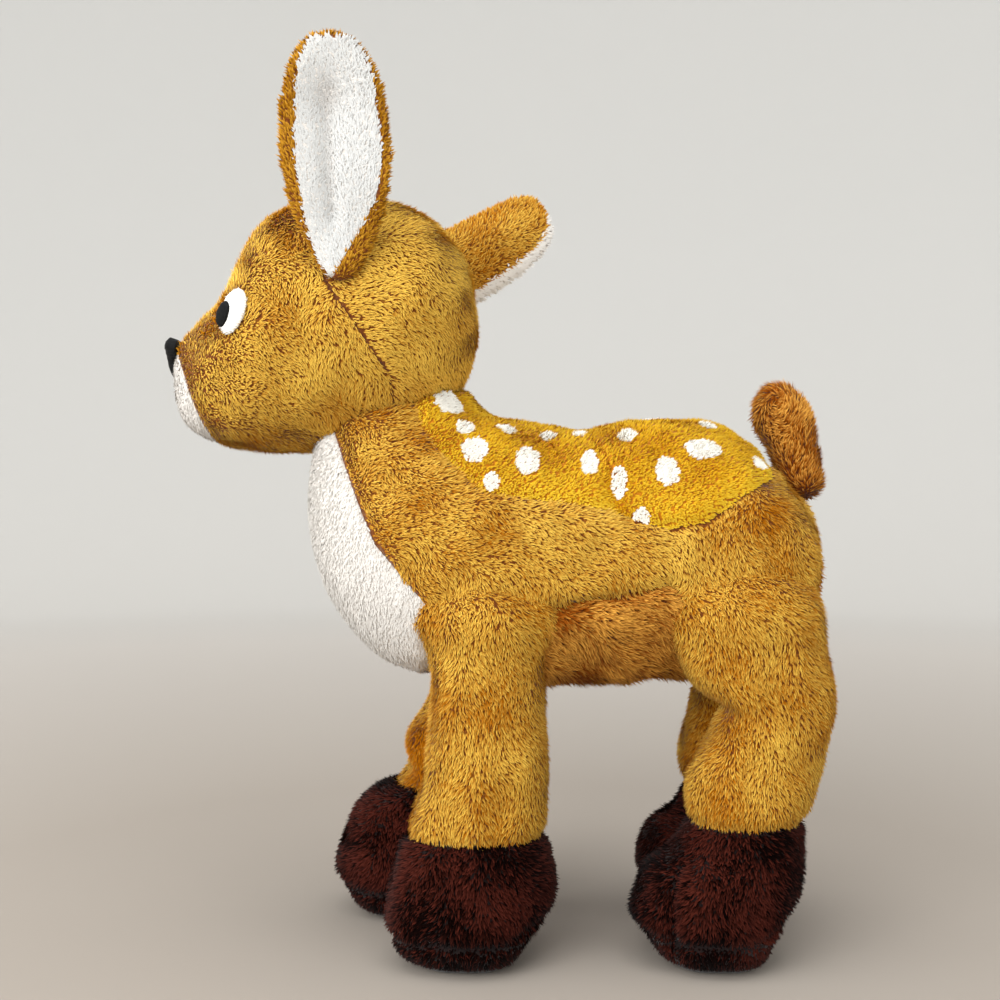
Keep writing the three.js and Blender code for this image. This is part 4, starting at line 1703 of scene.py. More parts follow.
@dataclass(frozen=True)
class Patch:
    """A domed patch that is laid on the head.

    Attributes:
        name: the piece's name.
        middle, facing: its middle before it is laid on the skin, and the way it faces.
        sizes: half width and half height.
        lift, dome: the heights of its lower face over the skin and of its middle over its rim.
        outline: the outline's radius over each angle.
        tilt: radians that its top leans back.
        rings, sides: rings from the middle to the rim, and points per ring.
        top_heavy: how much thicker it is at the top, and thinner at the bottom.
    """

    name: str
    middle: Array
    facing: Array
    sizes: tuple[float, float]
    lift: float
    dome: float
    outline: Field = patches(1.0)
    tilt: float = 0.0
    rings: int = 14
    sides: int = 40
    top_heavy: float = 0.0

    def laid(self, tree: BVHTree) -> bpy.types.Object:
        """The patch on the head's skin.

        Rings of the outline are projected onto the skin along the facing direction. The
        upper face is raised by the dome times the root of one less the radius to the fourth
        power, and the lower face lies just over the skin.

        Args:
            tree: the skin's search tree.

        Returns:
            The object.
        """
        facing = unit(self.facing)
        across = unit(np.cross(np.array([np.sin(self.tilt), 0.0, np.cos(self.tilt)]), facing))
        up = np.cross(facing, across)
        radius = np.concatenate([np.linspace(0.02, 1, self.rings), [1.0, 0.97]])
        angle = np.linspace(0, 2 * np.pi, self.sides, endpoint=False)
        reach = self.outline(angle)
        spread_x = np.outer(radius, np.cos(angle) * reach) * self.sizes[0]
        spread_y = np.outer(radius, np.sin(angle) * reach) * self.sizes[1]
        plane = self.middle + spread_x[..., None] * across + spread_y[..., None] * up
        rim_height, rim_turn, clear = 0.5, 0.25, 40
        height = self.dome * np.sqrt(np.maximum(1 - radius[: self.rings] ** 4, 0)) + rim_height
        heights = np.concatenate([height, [rim_turn, 0.0]]) + self.lift
        grid = np.empty_like(plane)
        for i, j in np.ndindex(plane.shape[:2]):
            start = Vector(plane[i, j] + facing * clear)
            hit, normal, _, _ = tree.ray_cast(start, Vector(-facing))
            if hit is None:
                hit, normal, _, _ = tree.find_nearest(Vector(plane[i, j]))
            thick = 1 + self.top_heavy * radius[i] * np.sin(angle[j])
            grid[i, j] = np.array(hit) + np.array(normal) * heights[i] * thick
        thing = mesh_object(self.name, *loft(grid))
        thing.data.shade_smooth()
        return thing


def rounded_triangle(angle: Array) -> Array:
    """A rounded triangle with its point down: a radius with three soft corners."""
    return 1 + 0.25 * np.cos(3 * (angle + np.pi / 2)) - 0.04 * np.sin(angle)


@dataclass
class Face:
    """The eyes, the nose and the mouth's stitch, laid on the head's skin.

    Attributes:
        shop: what the sub-assemblies share.
        eye: the middle of an eye in the side view.
        eye_size: its half width and half height.
        eye_turn: radians from straight ahead to the side that the eyes face.
        pupil_size: the pupil's half width and half height.
        pupil_shift: how far the pupil lies in front of the eye's middle.
        pupil_drop: how far it lies below it.
        nose_at: the middle of the nose, in front of the skin.
        nose_size: its half width and half height.
    """

    shop: Workshop
    eye: tuple[float, float] = (-90.5, 229.0)
    eye_size: tuple[float, float] = (5.2, 7.7)
    eye_turn: float = 0.68
    pupil_size: tuple[float, float] = (2.8, 4.4)
    pupil_shift: float = 2.7
    pupil_drop: float = 1.2
    nose_at: Place = (-118.0, 0.0, 216.6)
    nose_size: tuple[float, float] = (10.6, 6.6)

    def lay(self, patch: Patch, finish: ThreadFinish, node: str = "") -> bpy.types.Object:
        """Lays a patch on the head, dresses it and makes it ride.

        Args:
            patch: the patch.
            finish: its finish.
            node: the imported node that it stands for, or an empty name.

        Returns:
            The object.
        """
        thing = patch.laid(self.shop.bodies["head"].tree())
        dress(thing, finish, self.shop.materials)
        if node:
            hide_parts(node)
        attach(thing, "head")
        log.info("%s: %d faces", thing.name, len(thing.data.polygons))
        return thing

    def eyes(self) -> None:
        """Each eye: a white felt oval with a black pupil on it, and a fringe round both."""
        tree = self.shop.bodies["head"].tree()
        sine, cosine, tilt = np.sin(self.eye_turn), np.cos(self.eye_turn), 0.3
        for side in Side:
            facing = np.array([-cosine, side.value * sine, 0.0])
            outside = Vector((self.eye[0], side.value * 200, self.eye[1]))
            middle = np.array(tree.ray_cast(outside, Vector((0, -side.value, 0)))[0])
            ahead = np.array([-sine, -side.value * cosine, 0.0])
            white = Patch(f"{side.word}_eye_oval", middle, facing, self.eye_size, 1.0, 1.2, tilt=tilt)
            middle = middle + ahead * self.pupil_shift + [0, 0, -self.pupil_drop]
            pupil = Patch(f"{side.word}_pupil", middle, facing, self.pupil_size, 2.2, 1.0, tilt=tilt)
            oval = self.lay(white, WHITE_FELT, f"{side.word}_eye_white")
            self.lay(pupil, BLACK_THREAD, f"{side.word}_eye_pupil")
            self.fringe(side, oval)

    def fringe(self, side: Side, oval: bpy.types.Object) -> None:
        """Short white pile over the eye's oval, round the pupil and over the oval's rim.

        Args:
            side: the side of the head.
            oval: the eye's white.
        """
        points, corners = triangles(oval.data)
        skin = Surface(points, np.concatenate([corners, corners[:, 2:]], axis=1))
        roots = sown(skin, FELT_COAT.density, SEED + 700 + side.value)
        outward, least = [-0.6, side.value * 0.8, 0], 0.2
        roots = roots.kept((roots.normals * outward).sum(axis=1) > least)
        middle = roots.points.mean(axis=0)
        away = roots.points - middle
        half_width, half_height, ahead = 2.1, 3.7, 2.2
        bare = middle + np.array([-ahead, 0, -self.pupil_drop])
        along = (roots.points[:, 0] - bare[0]) / half_width
        clear = np.hypot(along, (roots.points[:, 2] - bare[2]) / half_height) > 1
        roots, away = roots.kept(clear), away[clear]
        comb = unit(away) * 0.3 + [-0.8, 0, -0.5]
        tone, trim = np.full(len(away), 0.8), np.ones(len(away))
        thing = grown(f"{side.word}_eye_fringe", roots, FELT_COAT, comb, tone, trim)
        dress(thing, WHITE_PILE, self.shop.materials)
        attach(thing, "head")
        self.shop.tufts += len(away)
        log.info("%s: %d tufts", thing.name, len(away))

    def muzzle(self) -> None:
        """The nose, a padded rounded triangle, and the stitch under it."""
        x, y, z = self.nose_at
        upward, level = np.array([-1.0, 0.0, 0.3]), np.array([-1.0, 0.0, 0.1])
        nose = Patch(
            "nose_wedge", np.array([x, y, z]), upward, self.nose_size, 1.2, 3.8,
            outline=rounded_triangle, top_heavy=0.55,
        )
        below, thin = np.array([x - 1, y, z - 11.5]), (0.9, 5.5)
        stitch = Patch("mouth_stitch", below, level, thin, 0.9, 0.5, rings=8, sides=24)
        self.lay(nose, BLACK_THREAD, "nose")
        self.lay(stitch, BLACK_THREAD)

    def build(self) -> None:
        """Makes the eyes, the nose and the stitch."""
        self.eyes()
        self.muzzle()


# Ears


@dataclass
class Ear(PaddedBody):
    """An ear: a brown back cupped round a white lining.

    Attributes:
        side: the side of the head.
        fold, splay: radians that it lies back and leans out at rest.
        root: its root, as on the left side.
        length, width: its size.
        droop, curl: how far its tip curves back, and how far the last of it curves again.
        cup, swell: how deep it is cupped, and half its thickness.
        crease: how far the fold along the lining stands out.
        root_pull: how far forward the lining lies at the root.
        rim, rolled: the brown rim's width, and how much of the lining rolls over the rear edge.
        coat, lining_coat: how the pile grows on its back and on its lining.
        rows: height and half width as shares.
    """

    wall: float = 0.9
    voxel: float = 1.7
    side: Side = Side.LEFT
    fold: float = 0.0
    root: Place = (-52.2, -47.52, 245.94)
    length: float = 74.6
    width: float = 38.0
    splay: float = 0.1
    droop: float = -2.6
    curl: float = 0.0
    cup: float = 4.2
    swell: float = 2.9
    crease: float = 2.5
    root_pull: float = 4.0
    rim: float = 2.4
    rolled: float = 0.0
    coat: Coat = RIM_COAT
    lining_coat: Coat = EAR_COAT
    rows: tuple = (
        (-0.115, 0.00), (-0.095, 0.24), (-0.030, 0.42), (0.070, 0.62), (0.220, 0.86), (0.420, 1.00),
        (0.620, 0.97), (0.790, 0.85), (0.910, 0.62), (0.975, 0.37), (1.000, 0.00),
    )

    @property
    def seed(self) -> int:
        """The number that picks the places of its tufts."""
        return SEED + 300 + self.side.value

    def hiders(self) -> list[str]:
        """The head, to which its root is sewn."""
        return ["head"]

    def own(self, points: Array) -> Array:
        """Points in the ear's own frame: x across it, y from front to back and z along it."""
        upright = spun(points * [1, -self.side.value, 1] - np.array(self.root), -self.splay, 1, 2)
        return spun(upright, -self.fold, 2, 0)

    def back(self, vectors: Array) -> Array:
        """Vectors of the ear's own frame, as the toy's: turned by the fold, then the splay."""
        return spun(spun(vectors, self.fold, 2, 0), self.splay, 1, 2) * [1, -self.side.value, 1]

    def lie(self, height: Array) -> Array:
        """How far the ear has curved back: the droop with h plus h squared, the curl with h cubed."""
        tall = np.clip(height, 0, 1)
        return self.droop * (tall + tall**2) / 2 + self.curl * tall**3

    @staticmethod
    def drawn_in(height: Array) -> Array:
        """How far the ear is drawn to the head at a height: its root is sewn to it."""
        return 4.5 * (1 - ramp(height, 0.0, 0.36))

    def half_width(self, height: Array) -> Array:
        """The ear's half width over its height as a share."""
        table = resampled(self.rows, 200)
        return np.interp(height, table[:, 0], np.maximum(table[:, 1], 0)) * self.width / 2

    def shape(self) -> None:
        """Builds the ear: its rings run across it, cupped in front and rounded behind.

        Over a ring's angle, x is minus the cosine times the half width. The front lies at
        the cup's depth less the swell, and the back at the cup's depth and the swell.
        """
        rows = resampled(self.rows, 60)
        height, half = rows[:, 0], np.maximum(rows[:, 1], 0) * self.width / 2
        angle = np.linspace(0, 2 * np.pi, 56, endpoint=False)
        x = -np.cos(angle)[None] * half[:, None]
        across = np.broadcast_to(-np.cos(angle)[None], x.shape)
        rise = np.sin(np.pi * np.clip(height, 0, 1))[:, None]
        tall = height[:, None]
        hollow = 2.6 * bell(np.hypot(across + 0.1, (tall - HOLLOW_SHARE) * 4), 0.5)
        cup = self.cup * rise * (1 - across**2) + hollow
        swell = self.swell * np.sign(np.sin(angle))[None] * np.abs(np.sin(angle))[None] ** 0.7
        fold = ramp(tall, 0.06, 0.2) * ramp(-tall, -0.78, -0.6)
        crease = self.crease * fold * bell(across + FOLD_SHARE, 0.12) * (np.sin(angle)[None] < 0)
        y = cup + swell * np.minimum(1, half[:, None] / 6) + crease + self.drawn_in(tall)
        x = x + self.lie(tall)
        rings = np.stack([x, y, np.broadcast_to(tall * self.length, x.shape)], axis=-1)
        points, faces = loft(rings)
        points = self.back(points) + np.array(self.root) * [1, -self.side.value, 1]
        if self.side is Side.RIGHT:
            faces = [f[::-1] for f in faces]
        skin = remeshed(points, faces, self.voxel)
        skin.relax(4)
        skin.swell(-0.5)
        self.shop.bodies[self.key] = skin

    def across(self, points: Array) -> tuple[Array, Array]:
        """Places on the ear as shares.

        Args:
            points: places of the toy, in millimetres.

        Returns:
            How high each lies, and how far across from minus one to one.
        """
        own = self.own(points)
        height = own[:, 2] / self.length
        return height, (own[:, 0] - self.lie(height)) / np.maximum(self.half_width(height), 1)

    def lined(self, points: Array) -> Array:
        """Inside the rim on the cupped side, and past it where the lining rolls over.

        Args:
            points: places in millimetres.

        Returns:
            One distance per point.
        """
        own = self.own(points)
        height = own[:, 2] / self.length
        x = own[:, 0] - self.lie(height)
        half = self.half_width(height)
        across = x / np.maximum(half, 1)
        cup = self.cup * np.sin(np.pi * np.clip(height, 0, 1)) * (1 - across**2) + self.drawn_in(height)
        hollow = 4.0 * bell(np.hypot(across + 0.1, (height - HOLLOW_SHARE) * 4), 0.6)
        front = cup + hollow - own[:, 1]
        middle = 0.9 - self.root_pull * ramp(-height, -0.34, 0.02)
        rim = half - np.abs(x - middle) - self.rim - self.rim * ramp(-height, -0.98, -0.6)
        rim = np.minimum(rim, self.length * TIP_SHARE - own[:, 2])
        inside = np.minimum(rim, front)
        if not self.rolled:
            return inside
        from_root = 18
        return np.maximum(inside, np.minimum(x - (half - self.rolled), own[:, 2] - from_root))

    def upward(self, points: Array) -> Array:
        """Up the ear and out towards its rim.

        Args:
            points: places in millimetres.

        Returns:
            One direction per point.
        """
        across = self.across(points)[1]
        share = np.clip(across, -1, 1) * np.abs(across).clip(0, 1)
        along = self.back(np.array([[0.0, 0.0, 1.0]]))[0]
        return along + 1.2 * self.back(combed(share, np.zeros(len(points))))

    def lining_tone(self, points: Array) -> Array:
        """Painted shade: darker in the hollow and along the fold.

        Args:
            points: places in millimetres.

        Returns:
            One tone per point.
        """
        height, across = self.across(points)
        fold = bell(across + FOLD_SHARE, 0.1) * ramp(height, 0.1, 0.25) * ramp(-height, -0.78, -0.6)
        hollow = bell(np.hypot(across + 0.1, (height - 0.73) * 3), 0.26)
        return 0.78 - 0.35 * fold - 0.55 * hollow

    def panels(self) -> list[Panel]:
        """The back and the lining.

        Returns:
            The panels.
        """
        word, brown, white = self.side.word, BROWN_BACKING, WHITE_BACKING
        bare = lambda points: -self.lined(points)
        return [
            Panel(f"{word}_ear_back", brown, self.coat, bare, self.upward, patches(0.38)),
            Panel(f"{word}_ear_lining", white, self.lining_coat, self.lined, self.upward, self.lining_tone),
        ]


# The right ear's height and half width as shares: it is squeezed by its fold
FOLDED_ROWS = (
    (-0.115, 0.00), (-0.095, 0.24), (-0.030, 0.42), (0.070, 0.62), (0.220, 0.82), (0.420, 0.90),
    (0.620, 0.86), (0.790, 0.79), (0.910, 0.66), (0.975, 0.44), (1.000, 0.00),
)


# Tail


@dataclass
class Tail(PaddedBody):
    """The short tail, curling up over the rump.

    Attributes:
        curl_at: the middle of its curl, in the side view.
        coat: how its pile grows.
    """

    voxel: float = 3.0
    stuffing: str = "tail_stuffing"
    curl_at: tuple[float, float] = (106.0, 204.0)
    coat: Coat = TAIL_COAT

    @property
    def seed(self) -> int:
        """The number that picks the places of its tufts."""
        return SEED + 400

    def panels(self) -> list[Panel]:
        """Its one cover."""
        # Painted shade in the middle of the curl and painted light on its rim behind
        worn = patches(0.24, (106, 203, 5, -0.2), (122, 196, 8, 0.2))
        return [Panel("tail_cover", BELLY_BACKING, self.coat, patches(1.0), self.swirl, worn)]

    def swirl(self, points: Array) -> Array:
        """Up the tail, turning round the middle of its curl.

        Args:
            points: places in millimetres.

        Returns:
            One direction per point.
        """
        x, z = points[:, 0] - self.curl_at[0], points[:, 2] - self.curl_at[1]
        curl, radius = ramp(z, -26, -4), 12
        return combed(-0.2 + curl * -z / radius, 1 - curl + curl * x / radius)

    def shape(self) -> None:
        """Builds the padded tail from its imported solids, slimmer above its root."""
        skin = remeshed(*cad_skin("tail_cover", "tail_stuffing"), self.voxel)
        skin.relax(4)
        skin.swell(-1.6 * ramp(skin.points[:, 2], 172, 184))
        skin.points[:, 0] -= 1.5 * ramp(skin.points[:, 2], 168, 178)
        skin = puffed(skin, np.zeros(len(skin.points)), 1.5, 1.0)
        self.shop.bodies[self.key] = subdivided(skin)


# Legs


@dataclass
class Leg(PaddedBody):
    """A leg: its cover, the hoof's cover and the sole sewn in under it.

    Attributes:
        side, pair: which leg it is.
        pivot, radius: where it turns, in the side view, and the radius of its round top.
        toe_out: radians that the hoof's front seam is turned outward.
        hoof_z, sole_z: the heights of the hoof's seam and of the sole's.
        heel_lift, toe_lift: how far the sole's ends are rounded up.
        worn: the tone of its cover's outside, with patches of painted shade and light on the rear legs.
    """

    side: Side = Side.LEFT
    pair: Pair = Pair.FRONT
    pivot: tuple[float, float] = (-2.06, 119.95)
    radius: float = 26.0
    toe_out: float = 0.0
    hoof_z: float = 45.3
    sole_z: float = 12.0
    heel_lift: float = 10.5
    toe_lift: float = 0.5
    worn: Field = patches(0.42)

    def __post_init__(self) -> None:
        """Names the fibre inside and mounts the leg on the torso, bending towards the leg, with places above
        and below its pivot.
        """
        self.stuffing = f"{self.word}_leg_stuffing"
        x, y, z = self.pivot[0], self.side.value * LEG_Y, self.pivot[1]
        self.mount = Mount("torso", self.key, (x, y, z + 0.8 * self.radius), (x, y, z - 0.45 * self.radius))

    @property
    def word(self) -> str:
        """The leg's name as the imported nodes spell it."""
        return f"{self.side.word}_{self.pair.value}"

    @property
    def seed(self) -> int:
        """The number that picks the places of its tufts."""
        return SEED + 500 + 10 * self.side.value + len(self.word)

    @property
    def hoof_x(self) -> float:
        """The middle of the hoof, between the ends of what lies low.

        Returns:
            Its x.
        """
        low = 30
        points = self.shop.bodies[self.key].points
        foot = points[points[:, 2] < low]
        return float((foot[:, 0].min() + foot[:, 0].max()) / 2)

    def above_hoof(self, points: Array) -> Array:
        """How far above the hoof's seam."""
        return points[:, 2] - self.hoof_z

    def on_sole(self, points: Array) -> Array:
        """How far below the sole's seam, which is arched from heel to toe."""
        return self.sole_z - points[:, 2] + 2.5 * bell(points[:, 0] - self.hoof_x, 30) - 2.0

    def on_hoof(self, points: Array) -> Array:
        """Between the hoof's seam and the sole's."""
        return np.minimum(-self.above_hoof(points), -self.on_sole(points))

    def front_seam(self, points: Array) -> Array:
        """Distance from the hoof's front seam, which runs from its middle to its toe.

        Args:
            points: places in millimetres.

        Returns:
            One distance per point.
        """
        rel_x, rel_y = points[:, 0] - self.hoof_x, points[:, 1] - self.side.value * LEG_Y
        c, s = np.cos(self.toe_out), self.side.value * np.sin(self.toe_out)
        return np.abs(s * rel_x + c * rel_y) + FAR * (c * rel_x > s * rel_y)

    def crease(self, points: Array) -> Array:
        """One on the sole's seam and on the hoof's front seam, fading to zero beside them."""
        front = bell(self.front_seam(points), 1.6) * ramp(-points[:, 2], -42, -34)
        return np.maximum(bell(self.on_sole(points), 1.5), 0.9 * front)

    def cover_tone(self, points: Array) -> Array:
        """Darker on the leg's inner side, which lies in the other leg's shade."""
        inside = ramp(LEG_Y - points[:, 1] * self.side.value, 2, 14)
        return self.worn(points) - 0.4 * inside

    @staticmethod
    def down(points: Array) -> Array:
        """Down the leg, and backwards where the leg joins the flank."""
        high = ramp(points[:, 2], 105, 150)
        return combed(0.15 + 0.5 * high, -1 + 0.35 * high)

    def hoof_comb(self, points: Array) -> Array:
        """Down the hoof and away from its middle."""
        spread = 40
        return combed((points[:, 0] - self.hoof_x) / spread, -np.ones(len(points)))

    def hoof_trim(self, points: Array) -> Array:
        """Shorter pile on the seams."""
        return 1 - 0.6 * self.crease(points)

    def sole_trim(self, points: Array) -> Array:
        """Flattened pile where the sole stands, short pile round its edge and on its seam."""
        return (0.12 + 0.63 * ramp(points[:, 2], 1.0, 6.0)) * self.hoof_trim(points)

    def panels(self) -> list[Panel]:
        """The cover, the hoof and the sole, from top to bottom.

        Returns:
            The panels.
        """
        brown, dark = (BROWN_BACKING, BROWN_COAT), (HOOF_BACKING, HOOF_COAT)
        # Painted shade: the hoof and the sole are darker in the creases of their seams
        seam_shaded_hoof_tone = lambda p: 0.36 - 0.36 * self.crease(p)
        seam_shaded_sole_tone = lambda p: 0.3 - 0.3 * self.crease(p)
        word, comb = self.word, self.hoof_comb
        return [
            Panel(f"{word}_leg_cover", *brown, self.above_hoof, self.down, self.cover_tone),
            Panel(f"{word}_hoof_cover", *dark, self.on_hoof, comb, seam_shaded_hoof_tone, self.hoof_trim),
            Panel(f"{word}_sole", *dark, self.on_sole, comb, seam_shaded_sole_tone, self.sole_trim),
        ]

    def shape(self) -> None:
        """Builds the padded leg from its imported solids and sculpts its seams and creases."""
        skin = self.blown()
        self.shop.bodies[self.key] = skin
        drawn_z = skin.points[:, 2]
        off_floor = ramp(drawn_z, 2.0, 8.0)
        self.sew(skin, off_floor)
        self.round_foot(skin)
        skin.points = np.concatenate([skin.points[:, :2], np.maximum(skin.points[:, 2:], LOWEST)], axis=1)
        skin.swell(0.35 * off_floor * waves(skin.points, 22, 27) * ramp(-drawn_z, -120, -100))

    def blown(self) -> Surface:
        """The padded skin: remeshed, drawn in, slimmer at its round top, and puffed.

        Returns:
            The skin, subdivided once.
        """
        parts = ("leg_cover", "hoof_cover", "sole", "leg_stuffing")
        skin = remeshed(*cad_skin(*(f"{self.word}_{part}" for part in parts)), self.voxel)
        skin.relax(7)
        z, pivot_x, pivot_z = skin.points[:, 2], *self.pivot
        seams = np.minimum(np.abs(z - self.hoof_z), np.abs(z - self.sole_z))
        held = np.clip(ramp(-z, -6, -3) + ramp(z, pivot_z - 12, pivot_z), 0, 1)
        shank = ramp(z, self.hoof_z - 8, self.hoof_z + 8)
        skin.swell(-(0.8 + 1.2 * shank) * (1 - held))
        top = ramp(skin.points[:, 2], pivot_z + 2, pivot_z + 0.8 * self.radius)
        reach, slimmer, shorter = 10, 7.5, 0.14
        outer = np.clip(self.side.value * skin.points[:, 1] - LEG_Y, 0, reach) / reach
        skin.points[:, 1] -= self.side.value * slimmer * top * outer
        skin.points[:, 0] -= shorter * top * (skin.points[:, 0] - pivot_x)
        skin = puffed(skin, np.maximum(bell(seams, SEAM_HOLD), held), 2.0, 2.5)
        skin.relax(2)
        return subdivided(skin)

    def sew(self, skin: Surface, off_floor: Array) -> None:
        """Presses in the seams, and the crease over a rear leg's knee.

        Args:
            skin: the skin, which is changed.
            off_floor: zero where the sole stands and one above.
        """
        x, z = skin.points[:, 0], skin.points[:, 2]
        groove = 2.0 * bell(seam_margin(skin.points, self.panels()), 2.0) * off_floor
        groove += 2.2 * bell(self.front_seam(skin.points), 2.4) * ramp(-z, -42, -34) * off_floor
        if self.pair is Pair.REAR:
            knee = line_offset(flat(skin.points), np.array([[52.0, 91.0], [74.0, 90.5], [94.0, 88.0]]))
            groove += 2.8 * bell(knee, 2.8) * ramp(-x, -98, -72)
            notch = 4.5 * bell(z - 90.6, 7.0) * ramp(-x, -88, -70)
            skin.points = skin.points + notch[:, None] * [1, 0, 0]
        skin.swell(-groove)

    def round_foot(self, skin: Surface) -> None:
        """Rounds up the heel, the toe and the sole's edges, and bends the shin.

        Args:
            skin: the skin, which is changed.
        """
        ahead, z = self.hoof_x - skin.points[:, 0], skin.points[:, 2]
        beside = np.abs(skin.points[:, 1] - self.side.value * LEG_Y)
        heel = self.heel_lift * ramp(-ahead, 4, 33) * ramp(-z, -34, 0)
        toe = self.toe_lift * ramp(ahead, 12, 34) * ramp(-z, -24, 0)
        edge = 2.5 * ramp(beside, 13, 25) * ramp(-z, -16, 0)
        lift = heel[:, None] * [-0.4, 0, 1]
        lift_toe, lift_edge = toe[:, None] * [0.2, 0, 1], edge[:, None] * [0, 0, 1]
        skin.points = skin.points + lift + lift_toe + lift_edge
        x, z = skin.points[:, 0], skin.points[:, 2]
        if self.pair is Pair.REAR:
            tuck = -1.8 * ramp(-ahead, 18, 34) * ramp(-z, -60, -48)
            back = 2.0 * bell(z - 100, 15) * ramp(x - self.pivot[0], 10, 26)
            skin.points = skin.points + (tuck + back)[:, None] * [1, 0, 0]
        elif self.side is Side.RIGHT:
            shin = 10.5 * bell(z - 55, 11) * ramp(ahead, -4, 12)
            reach = 2.0 * ramp(-z, -46, -24)
            skin.points = skin.points + (shin - reach)[:, None] * [1, 0, 0]


def all_legs(shop: Workshop) -> list[Leg]:
    """The four legs, the front one before the rear one on each side.

    Args:
        shop: what the sub-assemblies share.

    Returns:
        The legs.
    """
    # Patches of painted shade and light on the rear legs, where the pile's lie darkens or lightens them
    worn = patches(
        0.43, (104, 150, 16, -0.25), (74, 55, 8, -0.2), (62, 100, 14, 0.12), (96, 70, 14, 0.1),
    )
    legs = []
    for side in Side:
        front = Leg(shop, f"{side.word}_front_leg", Mount("torso"), side=side)
        if side is Side.RIGHT:
            front.hoof_z, front.toe_lift = 51.5, 7.0
        rear = Leg(
            shop, f"{side.word}_rear_leg", Mount("torso"), side=side, pair=Pair.REAR, pivot=(89.9, 122.01),
            radius=29.5, toe_out=0.82, hoof_z=50.5, heel_lift=14.0, toe_lift=7.0, worn=worn,
        )
        legs += [front, rear]
    return legs


# Studio


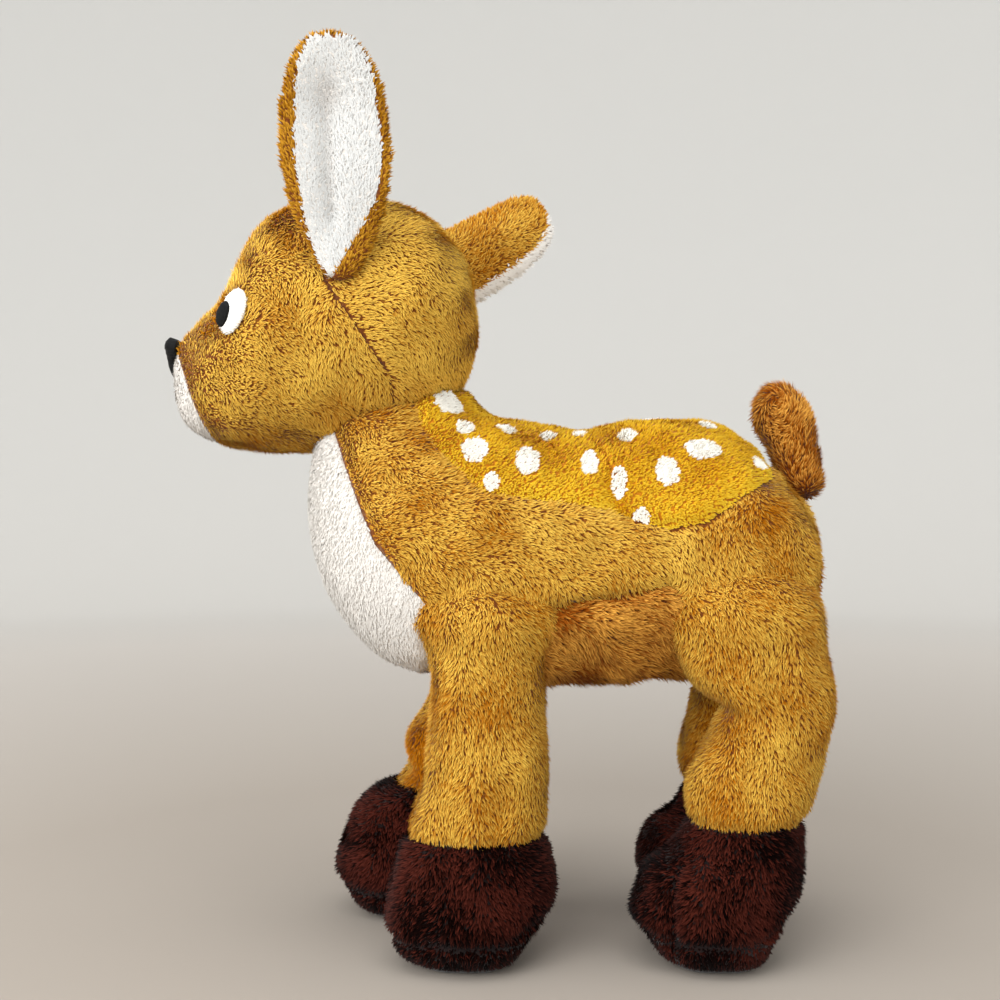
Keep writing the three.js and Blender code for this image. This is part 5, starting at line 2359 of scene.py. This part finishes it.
@dataclass
class Studio:
    """The pale sweep that the toy stands on, the lamps and the camera.

    Attributes:
        camera_at: the camera's place in millimetres. It looks level along +Y.
        focal: its focal length, as a share of the picture's width.
        lamps: each lamp's name, its place in millimetres and its power in watts.
        wall: the sweep's colour where it stands up.
        floor: its colour where it lies flat.
        distant: its colour a metre away.
        bend: its colour where it starts to rise.
    """

    camera_at: Place = (2.65, -480.0, 163.0)
    focal: float = 1.268
    lamps: tuple = (
        ("key", (-520, -1050, 560), 13.2),
        ("left", (-1100, -500, 170), 12.0),
        ("fill", (800, -1000, 250), 5.0),
        ("top", (0, -250, 1200), 7.0),
    )
    wall: Colour = (219, 219, 217)
    floor: Colour = (158, 150, 141)
    distant: Colour = (204, 199, 193)
    bend: Colour = (217, 215, 211)

    def build(self) -> None:
        """Makes the sweep, the lamps, the world and the camera."""
        self.backdrop()
        for name, place, power in self.lamps:
            self.lamp(name, place, power)
        world = bpy.data.worlds.new("room")
        world.use_nodes = True
        background = world.node_tree.nodes["Background"]
        background.inputs["Color"].default_value = (1.0, 0.99, 0.97, 1)
        background.inputs["Strength"].default_value = 0.83
        scene = bpy.context.scene
        scene.world = world
        scene.view_settings.view_transform = "Standard"
        camera = bpy.data.cameras.new("camera")
        camera.sensor_width = 36
        camera.lens = self.focal * camera.sensor_width
        camera.clip_start = 0.01
        stand = bpy.data.objects.new("camera", camera)
        stand.location = Vector(self.camera_at) * MM
        stand.rotation_euler = (np.pi / 2, 0, 0)
        scene.collection.objects.link(stand)
        scene.camera = stand

    def backdrop(self) -> None:
        """A round floor that bends up into a wall on every side.

        Its outline is straight, a quarter circle and straight, turned about Z.
        """
        bend, wall, top, sides = 800.0, 1300.0, 1400.0, 96
        turn = np.linspace(0, np.pi / 2, 20)
        far = np.concatenate([[1.0, 500.0], wall + bend * np.sin(turn), [wall + bend]])
        z = np.concatenate([[0.0, 0.0], bend * (1 - np.cos(turn)), [top]])
        angle = np.linspace(0, 2 * np.pi, sides, endpoint=False)
        x, y = far[:, None] * np.cos(angle), far[:, None] * np.sin(angle)
        grid = np.stack([x, y, np.broadcast_to(z[:, None], x.shape)], axis=-1)
        number = np.arange(len(far) * sides).reshape(-1, sides)
        after = np.roll(number, -1, axis=1)
        faces = np.stack([number[:-1], number[1:], after[1:], after[:-1]], axis=-1).reshape(-1, 4).tolist()
        thing = mesh_object("sweep", grid.reshape(-1, 3), faces + [number[0].tolist()])
        thing.data.shade_smooth()
        thing.data.materials.append(self.paper())

    def paper(self) -> bpy.types.Material:
        """The sweep's material: its colour lightens with the distance from the toy's middle, painted light
        that makes up for the lamps' light falling off away from the toy.

        Returns:
            The material.
        """
        nodes = Nodes("pale_paper", 0.95, 0.0)
        away = nodes.placed("ShaderNodeVectorMath", operation="LENGTH")
        share = nodes.add("ShaderNodeMath", operation="MULTIPLY")
        nodes.link(away.outputs["Value"], share.inputs[0])
        share.inputs[1].default_value = 0.4
        stops = [(0.1, self.floor), (0.9, self.wall), (0.4, self.distant), (0.56, self.bend)]
        nodes.link(nodes.scale(share.outputs["Value"], stops), nodes.shader.inputs["Base Color"])
        return nodes.material

    @staticmethod
    def lamp(name: str, place: Place, power: float) -> None:
        """A square lamp that points at the middle of the toy.

        Args:
            name: its name.
            place: its place in millimetres.
            power: its power in watts.
        """
        size, aim = 900, Vector((0, 0, 150))
        data = bpy.data.lights.new(name, "AREA")
        data.shape, data.size, data.energy = "SQUARE", size * MM, power
        lamp = bpy.data.objects.new(name, data)
        lamp.visible_camera = False
        lamp.location = Vector(place) * MM
        lamp.rotation_euler = (aim - Vector(place)).to_track_quat("-Z", "Y").to_euler()
        bpy.context.scene.collection.objects.link(lamp)


def main() -> None:
    """Builds the toy in order and reports each piece."""
    logging.basicConfig(level=logging.INFO, format="%(name)s %(message)s")
    shop = Workshop()
    parts: list[PaddedBody] = [
        Torso(shop, "torso", Mount("torso")),
        Head(shop, "head", Mount("head")),
        Ear(shop, "left_ear", Mount("left_ear")),
        Ear(
            shop, "right_ear", Mount("right_ear"), side=Side.RIGHT, fold=1.065, root=(-51.05, -47.52, 240.2),
            length=85.0, droop=3.0, curl=-6.0, root_pull=0.0, rolled=4.5, coat=FOLDED_COAT,
            lining_coat=FOLDED_LINING_COAT, rows=FOLDED_ROWS,
        ),
        Tail(shop, "tail", Mount("tail")),
        *all_legs(shop),
    ]
    for part in parts:
        part.shape()
        log.info("%s: shaped, %d faces", part.key, len(shop.bodies[part.key].faces))
    for part in parts:
        part.build()
    Face(shop).build()
    Studio().build()
    log.info("tufts in all: %d", shop.tufts)
    bpy.context.view_layer.update()


if __name__ == "__main__":
    main()
